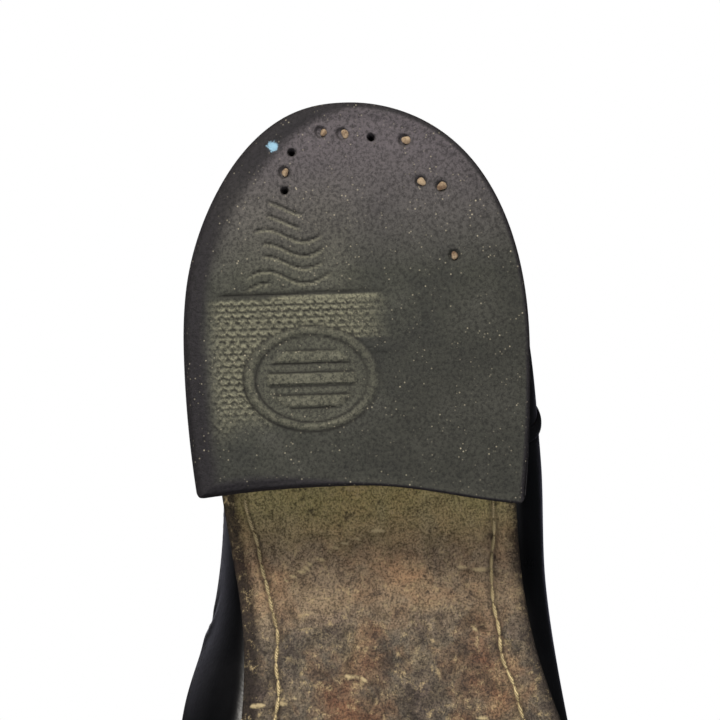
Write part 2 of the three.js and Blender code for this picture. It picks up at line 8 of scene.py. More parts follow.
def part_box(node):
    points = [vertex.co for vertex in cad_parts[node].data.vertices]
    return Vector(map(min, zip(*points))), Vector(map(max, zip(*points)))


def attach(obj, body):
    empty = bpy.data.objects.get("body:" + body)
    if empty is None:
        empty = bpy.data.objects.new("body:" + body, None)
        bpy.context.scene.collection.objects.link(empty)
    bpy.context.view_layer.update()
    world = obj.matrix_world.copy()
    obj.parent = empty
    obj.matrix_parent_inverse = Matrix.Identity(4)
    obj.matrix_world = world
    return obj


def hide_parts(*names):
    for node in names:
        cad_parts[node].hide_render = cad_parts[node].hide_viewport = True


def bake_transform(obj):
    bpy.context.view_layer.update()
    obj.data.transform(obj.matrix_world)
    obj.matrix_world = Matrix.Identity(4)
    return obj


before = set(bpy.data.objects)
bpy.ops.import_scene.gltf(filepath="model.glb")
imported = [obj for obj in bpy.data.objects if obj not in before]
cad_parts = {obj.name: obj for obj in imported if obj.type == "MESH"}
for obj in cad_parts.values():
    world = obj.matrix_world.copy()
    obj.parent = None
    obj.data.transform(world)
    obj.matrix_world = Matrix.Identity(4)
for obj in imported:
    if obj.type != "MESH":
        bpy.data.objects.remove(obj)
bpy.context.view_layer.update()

# A right-foot leather shoe. Lengths in the dictionaries are millimetres, with X from the back of the heel
# to the toe, Y to the inner side of the foot and Z up from the ground.
shoe = dict(
    treadThickness=7.7, heelHeight=27.7, heelLength=78.0, heelWidth=68.2, roundLength=49.0, roundness=2.2,
    breastWidth=64.4, breastHollow=2.0, flare=1.6,
    soleLength=296.0, soleThickness=5.0, ballAt=190.0, toeSpring=6.0, toeLength=56.0,
    weltBottom=5.3, weltThickness=3.0, weltWidth=11.5, footLine=8.6,
    middleFrom=1.5, outerFrom=3.5, outerTo=5.2,
    collarBack=11.0, collarFront=128.0, collarHalf=26.0, collarLow=44.0, backRise=17.0, frontRise=35.0,
    seamLateral=0.137, seamMedial=0.863, aroundShoe=760.0,
)

# Lines of the shoe, from the back of the heel round the outer side to the toe and back along the inner
# side: sole edge x, y; inset of the foot line; out and up at the foot; x, y and drop at the collar; turn
# round the collar; top edge of the outer leather.
lines = np.array([
    [0, 0, 6.5, 7, 18, -8, 0, 22, 0, 0.62],
    [12, -23, 6.5, 7, 16, -7, -4, 21, 28, 0.6],
    [42, -35.5, 6.5, 8.5, 14, 0, -11, 20, 56, 0.56],
    [80, -33.5, 6.5, 15.5, 10, 4, -13.5, 20, 84, 0.52],
    [112, -35.8, 6.5, 12.3, 10, 7, -12, 20, 104, 0.47],
    [148, -46.5, 8, 5, 14, 13, -14, 24, 122, 0.48],
    [188, -53.5, 9, 5, 20, 30, -23, 27, 139, 0.56],
    [228, -50.5, 9, 6, 26, 48, -26, 30, 153, 0.66],
    [262, -38, 9, 7, 30, 71, -23, 33, 164, 0.73],
    [286, -17, 9, 8, 32, 86, -13, 36, 173, 0.78],
    [296, 5, 9, 8, 32, 92, 2, 37, 180, 0.8],
    [285, 26, 9, 7, 32, 84, 15, 36, 187, 0.78],
    [258, 41, 9, 6, 28, 68, 21, 33, 196, 0.73],
    [222, 48, 9, 9, 24, 44, 25, 29, 207, 0.66],
    [185, 43, 9, 17, 18, 28, 25, 25, 221, 0.56],
    [150, 31, 8, 23, 12, 14, 17, 22, 238, 0.48],
    [115, 26.2, 6.5, 12, 10, 7, 8, 20, 256, 0.45],
    [80, 30.5, 6.5, 4.5, 10, 4, 4, 20, 276, 0.5],
    [42, 35.5, 6.5, 7, 14, 0, 9, 20, 304, 0.56],
    [12, 23, 6.5, 7, 16, -6, 4, 21, 332, 0.6],
], float)

treadLow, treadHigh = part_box("heel_tread")
heelBack = Vector((treadLow.x, (treadLow.y + treadHigh.y) / 2, 0))


def toWorld(points):
    return np.asarray(points, float) / 1000 + np.array(heelBack)


def ease(s):
    s = np.clip(s, 0, 1)
    return s * s * (3 - 2 * s)


def unit(rows):
    return rows / np.linalg.norm(rows, axis=1)[:, None]


def line(d, w):  # 1 on a line, fading to 0 over w
    return np.exp(-(d / w) ** 2)


def bunched(s):  # steps that come closer together towards 1 and -1
    return 1.5 * s - 0.5 * s ** 3


def rounding(toRim, radius):  # how far a rounded edge falls away, toRim in from it
    return radius - np.sqrt(np.maximum(radius ** 2 - (radius - np.clip(toRim, 0, radius)) ** 2, 0))


def pitch(x):  # height of the sole's underside: heel seat, waist, ball, toe spring
    seatHeight = shoe["heelHeight"] + 0.3
    seatEnd = shoe["heelLength"] + shoe["flare"] + 1
    fall = 1 - ease((x - seatEnd) / (shoe["ballAt"] - seatEnd))
    rise = np.clip((x - shoe["soleLength"] + shoe["toeLength"]) / shoe["toeLength"], 0, 1)
    return seatHeight * fall + shoe["toeSpring"] * rise ** 2


def rowAt(u):  # the lines at u, once round the shoe from 0 to 1
    count = len(lines)
    place = np.mod(u, 1) * count
    k = np.floor(place).astype(int)
    s = (place - k)[:, None]
    p, q, r, t = [lines[(k + step) % count].copy() for step in (-1, 0, 1, 2)]
    turn = lambda start, end: np.mod(end - start + 180, 360) - 180
    p8, r8 = q[:, 8] + turn(q[:, 8], p[:, 8]), q[:, 8] + turn(q[:, 8], r[:, 8])
    p[:, 8], t[:, 8], r[:, 8] = p8, r8 + turn(r[:, 8], t[:, 8]), r8
    return q + 0.5 * s * (r - p + s * (2 * p - 5 * q + 4 * r - t + s * (3 * (q - r) + t - p)))


def soleEdge(u, inset=0.0):
    u = np.atleast_1d(np.asarray(u, float))
    before, after = rowAt(u - 0.002)[:, :2], rowAt(u + 0.002)[:, :2]
    away = unit(np.stack([after[:, 1] - before[:, 1], before[:, 0] - after[:, 0]], 1))
    return rowAt(u)[:, :2] - away * np.asarray(inset, float).reshape(-1, 1), away


def last(u, t):
    row = rowAt(u)
    foot, away = soleEdge(u, row[:, 2])
    angle = np.radians(row[:, 8])
    middle = (shoe["collarBack"] + shoe["collarFront"]) / 2
    half = (shoe["collarFront"] - shoe["collarBack"]) / 2
    top = np.stack([
        middle - half * np.cos(angle), -shoe["collarHalf"] * np.sin(angle),
        shoe["collarLow"] + shoe["backRise"] * ((1 + np.cos(angle)) / 2) ** 3
        + shoe["frontRise"] * ((1 - np.cos(angle)) / 2) ** 3], 1)
    start = np.column_stack([foot, np.zeros(len(foot))])
    rise = start + np.column_stack([away * row[:, 3:4], row[:, 4]])
    arrive = top + np.stack([row[:, 5], row[:, 6], -row[:, 7]], 1)
    t = t[:, None]
    low = (1 - t) ** 3 * start + 3 * t * (1 - t) ** 2 * rise
    return low + 3 * t * t * (1 - t) * arrive + t ** 3 * top


def skin(u, t, distance):  # a point off the foot's surface by distance, on the pitched shoe
    u, t = np.broadcast_arrays(np.asarray(u, float), np.asarray(t, float))
    u, t = u.ravel(), t.ravel()
    step = 0.004
    roundWay = last(u + step, t) - last(u - step, t)
    upWay = last(u, np.minimum(1, t + step)) - last(u, np.maximum(0, t - step))
    away = unit(np.cross(roundWay, upWay))
    away[:, 2] *= np.where(away[:, 2] < 0, ease(t / 0.2), 1)
    p = last(u, t) + unit(away) * np.asarray(distance, float).reshape(-1, 1)
    p[:, 2] += shoe["footLine"] + pitch(p[:, 0])
    return p


def topEdge(u):
    return rowAt(np.atleast_1d(np.asarray(u, float)))[:, 9]


waves = np.random.RandomState(7).uniform(-1, 1, (3, 14, 4))


def ripple(x, y, size, kind=0):  # smooth uneven value, about -1 to 1, whose bumps are size across
    total = np.zeros(np.shape(x))
    for a, b, c, d in waves[kind]:
        total = total + np.sin((a * x + b * y) * 6.3 / size * (0.7 + 0.5 * abs(c)) + d * 9)
    return total / 4


def selectOnly(piece):
    bpy.ops.object.select_all(action="DESELECT")
    piece.select_set(True)
    bpy.context.view_layer.objects.active = piece


def begin(name, primitive, **sizes):  # a new primitive, the only thing selected
    bpy.ops.object.select_all(action="DESELECT")
    primitive(**sizes)
    piece = bpy.context.object
    piece.name = name
    return piece


def addObject(name, data):
    thing = bpy.data.objects.new(name, data)
    bpy.context.collection.objects.link(thing)
    return thing


def applyModifiers(piece):
    selectOnly(piece)
    for modifier in list(piece.modifiers):
        bpy.ops.object.modifier_apply(modifier=modifier.name)


def selectAll():
    bpy.ops.mesh.select_all(action="SELECT")


def turnOut():  # faces point outwards
    bpy.ops.mesh.normals_make_consistent(inside=False)


def editMesh(piece, *steps):  # runs edit-mode steps on the whole piece
    selectOnly(piece)
    bpy.ops.object.mode_set(mode="EDIT")
    selectAll()
    for step in steps:
        step()
    bpy.ops.object.mode_set(mode="OBJECT")


def vertexPlaces(piece):
    places = np.empty(len(piece.data.vertices) * 3)
    piece.data.vertices.foreach_get("co", places)
    return places.reshape(-1, 3)


def moveVertices(piece, places):
    piece.data.vertices.foreach_set("co", np.asarray(places, float).ravel())
    piece.data.update()


def markVertices(piece, name, values):  # a value at each vertex, which the piece's material reads
    layer = piece.data.attributes.new(name, "FLOAT", "POINT")
    layer.data.foreach_set("value", np.ascontiguousarray(values, dtype=np.float32))


def smooth(piece, angle=40):
    selectOnly(piece)
    bpy.ops.object.shade_smooth_by_angle(angle=math.radians(angle))


def makeSheet(name, columns, rows, shape, thickness, bevel=0.35):
    # a grid pulled onto a surface and thickened inwards; shape takes a, b from 0 to 1
    piece = begin(name, bpy.ops.mesh.primitive_grid_add, size=1, x_subdivisions=columns,
                  y_subdivisions=rows)
    places = vertexPlaces(piece)
    moveVertices(piece, toWorld(shape(places[:, 0] + 0.5, places[:, 1] + 0.5)))
    editMesh(piece, partial(bpy.ops.mesh.remove_doubles, threshold=2e-5))
    if thickness:
        thick = piece.modifiers.new("thickness", "SOLIDIFY")
        thick.thickness, thick.offset = thickness / 1000, -1
    if bevel:
        rounded = piece.modifiers.new("edges", "BEVEL")
        rounded.width, rounded.segments, rounded.limit_method = bevel / 1000, 2, "ANGLE"
        rounded.angle_limit = math.radians(60)
    applyModifiers(piece)
    smooth(piece)
    return piece


def makeRing(name, steps, sides, shape):
    # a torus pulled onto a closed path; shape takes a place u along it and a turn round it
    piece = begin(name, bpy.ops.mesh.primitive_torus_add, major_segments=steps, minor_segments=sides,
                  major_radius=1, minor_radius=0.25)
    places = vertexPlaces(piece)
    u = np.mod(np.arctan2(places[:, 1], places[:, 0]) / (2 * np.pi), 1)
    turn = np.arctan2(places[:, 2], np.hypot(places[:, 0], places[:, 1]) - 1)
    moveVertices(piece, toWorld(shape(u, turn)))
    editMesh(piece, turnOut)
    smooth(piece, 60)
    return piece


def closeDown(piece, rise):  # thickens a flat-lying sheet straight up, by rise
    raised = {"value": (0, 0, rise / 1000)}
    lift = partial(bpy.ops.mesh.extrude_region_move, TRANSFORM_OT_translate=raised)
    editMesh(piece, lift, selectAll, turnOut)


def stitchRow(name, path, sizes):  # one stitch, arrayed along a path in millimetres
    path = toWorld(path)
    pitchLength, length, width = [sizes[key] / 1000 for key in ("pitch", "length", "width")]
    curve = bpy.data.curves.new(name + "Path", "CURVE")
    curve.dimensions = "3D"
    spline = curve.splines.new("POLY")
    spline.points.add(len(path) - 1)
    spline.points.foreach_set("co", np.column_stack([path, np.ones(len(path))]).ravel())
    guide = addObject(name + "Path", curve)
    piece = begin(name, bpy.ops.mesh.primitive_uv_sphere_add, segments=6, ring_count=5, radius=0.5)
    piece.data.transform(Matrix.Rotation(math.radians(90), 4, "Y"))
    piece.data.transform(Matrix.Diagonal((length, width, width, 1)))
    run = np.linalg.norm(np.diff(path, axis=0), axis=1).sum()
    copies = piece.modifiers.new("copies", "ARRAY")
    copies.use_relative_offset, copies.use_constant_offset = False, True
    copies.constant_offset_displace = (pitchLength, 0, 0)
    copies.count = int(run / pitchLength)
    follow = piece.modifiers.new("follow", "CURVE")
    follow.object = guide
    applyModifiers(piece)
    bpy.data.objects.remove(guide)
    smooth(piece, 80)
    return piece


def colour(text):  # sRGB hex to linear
    parts = [int(text[k:k + 2], 16) / 255 for k in (1, 3, 5)]
    return [c / 12.92 if c <= 0.04045 else ((c + 0.055) / 1.055) ** 2.4 for c in parts] + [1]


def connect(node, inputs):  # sets or links inputs; a node stands for its main output
    for key, value in inputs.items():
        if isinstance(value, bpy.types.Node):
            outputs = value.outputs
            value = outputs[2] if value.bl_idname == "ShaderNodeMix" else outputs.get("Fac", outputs[0])
        if isinstance(value, bpy.types.NodeSocket):
            node.id_data.links.new(value, node.inputs[key])
        else:
            node.inputs[key].default_value = colour(value) if isinstance(value, str) else value


def addNode(tree, kind, inputs=None, stops=(), **settings):
    node = tree.nodes.new("ShaderNode" + kind)
    if kind == "Mix":
        node.data_type = "RGBA"
    for key, value in settings.items():
        setattr(node, key, value)
    connect(node, inputs or {})
    if stops:
        ramp = node.color_ramp.elements
        while len(ramp) < len(stops):
            ramp.new(0.5)
        for element, (place, tone) in zip(ramp, stops):
            element.position = place
            element.color = colour(tone) if isinstance(tone, str) else (tone, tone, tone, 1)
    return node


def newMaterial(name, **sockets):
    material = bpy.data.materials.new(name)
    material.use_nodes = True
    add = partial(addNode, material.node_tree)
    shader = material.node_tree.nodes["Principled BSDF"]
    for key, value in sockets.items():
        shader.inputs[key.replace("_", " ")].default_value = value
    return material, add, shader, add("TexCoord").outputs["Object"]


def dress(piece, material):
    piece.data.materials.clear()
    piece.data.materials.append(material)


# how far from the back of the heel the wear, the stain with its painted light, the pale band and the
# painted shade on rubber and leather start and end; paint is a spot
wearAt = dict(rubbed=(34, 8), paintedShadeAhead=(44, 70), oliveAndPaintedLight=(98, 86), paleBandThenPaintedShade=(80, 140), paint=(8.4, 15.6, 0.4))
worn = {key: [heelBack.x + x / 1000 for x in wearAt[key]] for key in wearAt if key != "paint"}
# a pattern's Scale is 1000 over the size of its marks in millimetres, so 1500 makes grit of 0.7 mm


def mouldedRubber():
    # nitrile rubber from a mould, worn on the street: dull olive-black, purplish and paler at the rubbed
    # back, painted shade towards the front outer corner, on the rounded rim and in the moulded grooves,
    # dust in the sunk panel mixed with painted highlights on the lips and raised marks, pale grit pressed
    # in all over
    m, add, shader, place = newMaterial(
        "mouldedRubber", IOR=1.5, Roughness=0.72, Specular_IOR_Level=0.35)
    broad = add("TexNoise", {"Vector": place, "Scale": 55, "Detail": 6, "Roughness": 0.62})
    grit = add("TexNoise", {"Vector": place, "Scale": 1500, "Detail": 5, "Roughness": 0.8})
    tone = add("ValToRGB", {"Fac": broad}, stops=[(0.34, "#272824"), (0.5, "#34352e"), (0.66, "#40403a")])
    along = add("SeparateXYZ", {"Vector": place})
    rear = add("MapRange", {
        "Value": along.outputs["X"], "From Min": worn["rubbed"][0], "From Max": worn["rubbed"][1],
        "To Max": 0.9})
    rubbed = add("Mix", {0: rear, 6: tone, 7: "#504a4e"})
    # painted shade: darker towards the front outer corner, where the light falls off
    across = add("VectorMath", {0: place, 1: (0.7, -0.7, 0)}, operation="DOT_PRODUCT")
    paintedShadeAhead = add("MapRange", {
        "Value": across.outputs["Value"], "From Min": 0.7 * worn["paintedShadeAhead"][0],
        "From Max": 0.7 * worn["paintedShadeAhead"][1], "To Max": 0.55})
    shadedAhead = add("Mix", {0: paintedShadeAhead, 6: rubbed, 7: "#282823"})
    # painted shade on the rounded rim, wider on the inner side, and the side wall painted darker
    paintedRimShadeAndWall = add("Attribute", attribute_name="paintedRimShadeAndWall")
    side = add("Mix", {0: paintedRimShadeAndWall, 6: shadedAhead, 7: "#1c191d"})
    # dust in the sunk panel, mixed with painted highlights on the lips and raised marks of the moulding
    dustAndPaintedHighlight = add("Attribute", attribute_name="dustAndPaintedHighlight")
    dustAndHighlightHere = add("Math", {0: dustAndPaintedHighlight, 1: grit}, operation="MULTIPLY")
    dustAndHighlightAmount = add("MapRange", {"Value": dustAndHighlightHere, "From Max": 0.6, "To Max": 0.85})
    dustyAndLit = add("Mix", {0: dustAndHighlightAmount, 6: side, 7: "#7d7b66"})
    grain = add("ValToRGB", {"Fac": grit}, stops=[(0.41, 0.25), (0.5, 0.72), (0.59, 1.0)])
    grained = add("Mix", {0: 0.85, 6: dustyAndLit, 7: grain}, blend_type="MULTIPLY")
    # painted shade: near black in the moulded grooves, round the nail heads and in the empty holes
    groove = add("Attribute", attribute_name="groove")
    sunk = add("Mix", {0: groove, 6: grained, 7: "#11100b"})
    specks = add("TexVoronoi", {"Vector": place, "Scale": 1050, "Randomness": 1.0})
    dots = add("ValToRGB", {"Fac": specks}, stops=[(0.08, 1.0), (0.22, 0.0)])
    patches = add("TexNoise", {"Vector": place, "Scale": 260, "Detail": 3, "Roughness": 0.7})
    some = add("ValToRGB", {"Fac": patches}, stops=[(0.48, 0.0), (0.68, 1.0)])
    amount = add("Math", {0: dots, 1: some}, operation="MULTIPLY")
    speckled = add("Mix", {0: amount, 6: sunk, 7: "#928b78"})
    spot = add("VectorMath", {0: place, 1: toWorld(wearAt["paint"])}, operation="DISTANCE")
    ragged = add("Math", {0: spot.outputs["Value"], 1: grit}, operation="MULTIPLY")
    paint = add("MapRange", {"Value": ragged, "From Min": 0.0006, "From Max": 0.0004})
    painted = add("Mix", {0: paint, 6: speckled, 7: "#7396aa"})
    rough = add("MapRange", {"Value": broad, "To Min": 0.6, "To Max": 0.88})
    bump = add("Bump", {"Height": grit, "Strength": 0.8, "Distance": 0.0004})
    connect(shader, {"Base Color": painted, "Roughness": rough, "Normal": bump})
    return m


def soleLeather():
    # oak-bark tanned bend leather, dry and walked on: brown mottled with grey and rust, gritty, its edges
    # still inked, olive where polish ran down by the heel, painted paler there to lift the heel's shadow,
    # a paler band across the waist, painted shade towards the toe and in the stitch channel and cracks,
    # with pale scuffed creases
    m, add, shader, place = newMaterial("soleLeather", IOR=1.45, Roughness=0.8, Specular_IOR_Level=0.3)
    bent = add("TexNoise", {"Vector": place, "Scale": 110, "Detail": 5})
    push = add("VectorMath", {0: bent.outputs["Color"], "Scale": 0.009}, operation="SCALE")
    warped = add("VectorMath", {0: place, 1: push}, operation="ADD")
    broad = add("TexNoise", {"Vector": warped, "Scale": 75, "Detail": 10, "Roughness": 0.72})
    tone = add("ValToRGB", {"Fac": broad}, stops=[
        (0.32, "#352b28"), (0.42, "#5f4f45"), (0.5, "#846f5c"), (0.58, "#ab9474"), (0.7, "#d2be95")])
    hue = add("TexNoise", {"Vector": warped, "Scale": 48, "Detail": 7, "Roughness": 0.65})
    hueHere = add("ValToRGB", {"Fac": hue}, stops=[
        (0.36, "#97603e"), (0.46, "#8b6f55"), (0.54, "#6e6c5f"), (0.64, "#565153")])
    tinted = add("Mix", {0: 0.58, 6: tone, 7: hueHere})
    blots = add("TexNoise", {"Vector": warped, "Scale": 230, "Detail": 9, "Roughness": 0.78})
    blot = add("ValToRGB", {"Fac": blots}, stops=[(0.41, 0.2), (0.5, 0.72), (0.58, 1.0)])
    stained = add("Mix", {0: 0.8, 6: tinted, 7: blot}, blend_type="MULTIPLY")
    along = add("SeparateXYZ", {"Vector": warped})
    run = add("MapRange", {
        "Value": along.outputs["X"], "From Min": worn["paleBandThenPaintedShade"][0], "From Max": worn["paleBandThenPaintedShade"][1]})
    # a paler band across the waist
    paleBand = add("ValToRGB", {"Fac": run}, stops=[(0.05, 0.05), (0.2, 0.34), (0.45, 0.34), (0.6, 0.0)])
    paleBanded = add("Mix", {0: paleBand, 6: stained, 7: "#bb9f7e"})
    # painted shade: darker towards the toe, where the light falls off
    paintedShadeToToe = add("ValToRGB", {"Fac": run}, stops=[(0.45, 0.0), (0.68, 0.38)])
    shadedToToe = add("Mix", {0: paintedShadeToToe, 6: paleBanded, 7: "#40362f"})
    # olive polish stain, painted paler than it is to lift the heel's shadow: painted light
    nearHeel = add("MapRange", {
        "Value": along.outputs["X"], "From Min": worn["oliveAndPaintedLight"][0], "From Max": worn["oliveAndPaintedLight"][1],
        "To Max": 0.6})
    oliveAndPaintedLight = add("Mix", {0: nearHeel, 6: shadedToToe, 7: "#b9ac70"})
    rim = add("Attribute", attribute_name="rim")
    inkHere = add("Math", {0: rim, 1: blots}, operation="ADD")
    ink = add("MapRange", {"Value": inkHere, "From Min": 0.95, "From Max": 1.25, "To Max": 0.9})
    edged = add("Mix", {0: ink, 6: oliveAndPaintedLight, 7: "#241d1a"})
    fibre = add("TexNoise", {"Vector": place, "Scale": 2000, "Detail": 4, "Roughness": 0.85})
    grain = add("ValToRGB", {"Fac": fibre}, stops=[(0.44, 0.3), (0.5, 0.8), (0.55, 1.0)])
    grained = add("Mix", {0: 0.95, 6: edged, 7: grain}, blend_type="MULTIPLY")
    chips = add("TexNoise", {"Vector": place, "Scale": 420, "Detail": 10, "Roughness": 0.85})
    straw = add("ValToRGB", {"Fac": chips}, stops=[(0.55, 0.0), (0.6, 0.7)])
    strawHere = add("Math", {0: straw, 1: blot}, operation="MULTIPLY")
    flecked = add("Mix", {0: strawHere, 6: grained, 7: "#b4a078"})
    soot = add("ValToRGB", {"Fac": chips}, stops=[(0.41, 0.7), (0.455, 0.0)])
    sooty = add("Mix", {0: soot, 6: flecked, 7: "#2a2321"})
    scuff = add("Attribute", attribute_name="scuff")
    torn = add("Math", {0: scuff, 1: fibre}, operation="MULTIPLY")
    tornHere = add("MapRange", {"Value": torn, "From Min": 0.1, "From Max": 0.26, "To Max": 0.85})
    scuffed = add("Mix", {0: tornHere, 6: sooty, 7: "#b3a27c"})
    # painted shade in the stitch channel and in the cracks
    groove = add("Attribute", attribute_name="groove")
    paintedShadeInCuts = add("Mix", {0: groove, 6: scuffed, 7: "#2a2119"})
    height = add("Math", {0: blots, 1: fibre}, operation="ADD")
    bump = add("Bump", {"Height": height, "Strength": 0.8, "Distance": 0.0006})
    rough = add("MapRange", {"Value": broad, "To Min": 0.6, "To Max": 0.95})
    connect(shader, {"Base Color": paintedShadeInCuts, "Normal": bump, "Roughness": rough})
    return m


def polishedCalf():
    # chrome-tanned calf, waxed: near black with a sharp shine that wanders; its pores are drawn three
    # times too coarse, so that they show
    m, add, shader, place = newMaterial("polishedCalf", IOR=1.5, Roughness=0.3)
    pores = add("TexVoronoi", {"Vector": place, "Scale": 1500}, feature="SMOOTH_F1")
    soft = add("TexNoise", {"Vector": place, "Scale": 55, "Detail": 6, "Roughness": 0.6})
    tone = add("ValToRGB", {"Fac": soft}, stops=[(0.3, "#050506"), (0.6, "#09090b"), (0.8, "#131316")])
    rough = add("MapRange", {
        "Value": soft, "From Min": 0.3, "From Max": 0.75, "To Min": 0.26, "To Max": 0.48})
    wrinkle = add("TexNoise", {"Vector": place, "Scale": 260, "Detail": 5, "Distortion": 1.2})
    height = add("Math", {0: pores, 1: wrinkle}, operation="ADD")
    bump = add("Bump", {"Height": height, "Strength": 0.12, "Distance": 0.0002})
    connect(shader, {"Base Color": tone, "Roughness": rough, "Normal": bump})
    return m


def inkedEdge():
    # cut leather edges, inked black and waxed: layered lines, brown where the ink has rubbed off
    m, add, shader, place = newMaterial("inkedEdge", IOR=1.45, Roughness=0.68, Specular_IOR_Level=0.25)
    flat = add("Mapping", {"Vector": place, "Scale": (1, 1, 9)})
    layer = add("TexNoise", {"Vector": flat, "Scale": 160, "Detail": 5})
    wear = add("TexNoise", {"Vector": place, "Scale": 90, "Detail": 6, "Roughness": 0.7})
    tone = add("ValToRGB", {"Fac": wear}, stops=[(0.45, "#1a1715"), (0.6, "#2c2621"), (0.76, "#5c4b39")])
    lined = add("Mix", {0: 0.5, 6: tone, 7: layer.outputs["Color"]}, blend_type="MULTIPLY")
    bump = add("Bump", {"Height": layer, "Strength": 0.4, "Distance": 0.0003})
    connect(shader, {"Base Color": lined, "Normal": bump})
    return m


def waxedThread(name, dark, light):
    # linen thread laid in wax: twisted plies, darker in the hollows between them and in blotches
    m, add, shader, place = newMaterial(name, IOR=1.5, Roughness=0.7)
    ply = add("TexWave", {"Vector": place, "Scale": 1400, "Distortion": 2.0}, bands_direction="DIAGONAL")
    blotches = add("TexNoise", {"Vector": place, "Scale": 300, "Detail": 4})
    mixed = add("Math", {0: ply, 1: blotches}, operation="MULTIPLY")
    tone = add("ValToRGB", {"Fac": mixed}, stops=[(0.08, dark), (0.45, light)])
    bump = add("Bump", {"Height": ply, "Strength": 0.4, "Distance": 0.0001})
    connect(shader, {"Base Color": tone, "Normal": bump})
    return m


def grainedLeather(name, dark, light, grain, rough):
    # undyed leather or board: matt, with pores of grain millimetres and hand marks
    m, add, shader, place = newMaterial(name, IOR=1.5, Roughness=rough)
    cells = add("TexVoronoi", {"Vector": place, "Scale": 1000 / grain})
    marks = add("TexNoise", {"Vector": place, "Scale": 45, "Detail": 7, "Roughness": 0.65})
    tone = add("ValToRGB", {"Fac": marks}, stops=[(0.3, dark), (0.68, light)])
    bump = add("Bump", {"Height": cells, "Strength": 0.35, "Distance": 0.0002})
    connect(shader, {"Base Color": tone, "Normal": bump})
    return m


def ribbedElastic():
    # black elastic webbing: rubber cords under a knitted face make ribs about 1.2 mm apart
    m, add, shader, place = newMaterial("ribbedElastic", IOR=1.5, Roughness=0.85)
    own = add("TexCoord").outputs["UV"]
    ribs = add("TexWave", {"Vector": own, "Scale": 6.5}, bands_direction="X")
    knit = add("TexWave", {"Vector": own, "Scale": 30}, bands_direction="Y")
    height = add("Math", {0: ribs, 1: knit}, operation="ADD")
    tone = add("ValToRGB", {"Fac": ribs}, stops=[(0.1, "#0b0b0c"), (0.8, "#1d1d1f")])
    bump = add("Bump", {"Height": height, "Strength": 0.8, "Distance": 0.0005})
    connect(shader, {"Base Color": tone, "Normal": bump})
    return m


def wornSteel(name, bright, rust, rough):
    # drawn steel: scratched along, with rust bloom
    m, add, shader, place = newMaterial(name, Metallic=0.85, Roughness=rough)
    bloom = add("TexNoise", {"Vector": place, "Scale": 700, "Detail": 6, "Roughness": 0.7})
    tone = add("ValToRGB", {"Fac": bloom}, stops=[(0.4, rust), (0.6, bright)])
    bump = add("Bump", {"Height": bloom, "Strength": 0.3, "Distance": 0.0001})
    connect(shader, {"Base Color": tone, "Normal": bump})
    return m


rubber, bend, calf, edgeInk = mouldedRubber(), soleLeather(), polishedCalf(), inkedEdge()
soleThread = waxedThread("soleThread", "#57492f", "#b9a77c")
weltThread = waxedThread("weltThread", "#40382c", "#93866b")
blackThread = waxedThread("blackThread", "#080808", "#2b2b2d")
liningLeather = grainedLeather("liningLeather", "#7d6244", "#b79a73", 0.7, 0.6)
board = grainedLeather("leatherBoard", "#6b5539", "#a68c66", 0.5, 0.85)
cork = grainedLeather("groundCork", "#5f4226", "#b08654", 2.2, 0.95)
elastic = ribbedElastic()
springSteel = wornSteel("springSteel", "#9a9a97", "#6f675c", 0.35)
nailSteel = wornSteel("nailSteel", "#a8977f", "#6e5a49", 0.85)

camera = dict(axisX=51.1, axisY=-0.4, distance=280.0, lens=71.0, roll=0.0297)
view = bpy.data.cameras.new("camera")
view.lens, view.sensor_width, view.clip_start = camera["lens"], 36, 0.01
cameraObject = addObject("camera", view)
right = Vector((camera["roll"], -1, 0)).normalized()
up = Vector((-1, -camera["roll"], 0)).normalized()
aim = Matrix((right, up, right.cross(up))).transposed().to_4x4()
stand = Vector(toWorld([camera["axisX"], camera["axisY"], -camera["distance"]]))
cameraObject.matrix_world = Matrix.Translation(stand) @ aim
bpy.context.scene.camera = cameraObject
bpy.context.scene.view_settings.view_transform = "Standard"

world = bpy.data.worlds.new("studio")
bpy.context.scene.world = world
world.use_nodes = True
add = partial(addNode, world.node_tree)
backing = add("Background", {"Color": (1, 1, 1, 1), "Strength": 1.0})
fill = add("Background", {"Color": "#dfe6f2", "Strength": 0.02})
seen = add("LightPath").outputs["Is Camera Ray"]
both = add("MixShader", {0: seen, 1: fill, 2: backing})
connect(world.node_tree.nodes["World Output"], {"Surface": both})


def softBox(name, offset, size, power, tint, shines=True):
    lamp = bpy.data.lights.new(name, "AREA")
    lamp.shape, lamp.size, lamp.size_y = "RECTANGLE", size[0], size[1]
    lamp.energy, lamp.color = power, colour(tint)[:3]
    box = addObject(name, lamp)
    box.location = middle + Vector(offset)
    box.rotation_euler = (-Vector(offset)).to_track_quat("-Z", "Y").to_euler()
    box.visible_camera = False
    box.visible_glossy = shines


middle = Vector(toWorld([60, 0, 10]))  # offsets of the lamps from here are metres
softBox("keyBelow", (-0.46, 0.14, -0.5), (0.3, 0.3), 8.7, "#fffaf2")
softBox("fillBelow", (0.5, -0.05, -0.7), (0.6, 0.6), 3.2, "#f7f7ff")
softBox("innerSide", (-0.05, 0.36, 0.6), (0.25, 0.25), 0.24, "#e4e2f4")
softBox("outerSide", (0.1, -0.2, 0.62), (0.2, 0.2), 0.03, "#e0e0ff")
softBox("above", (0.3, -0.3, 0.9), (0.8, 0.8), 5.0, "#ffffff", shines=False)
daylight = bpy.data.lights.new("daylight", "SUN")
daylight.energy, daylight.angle = 1.6, math.radians(20)
addObject("daylight", daylight).visible_glossy = False

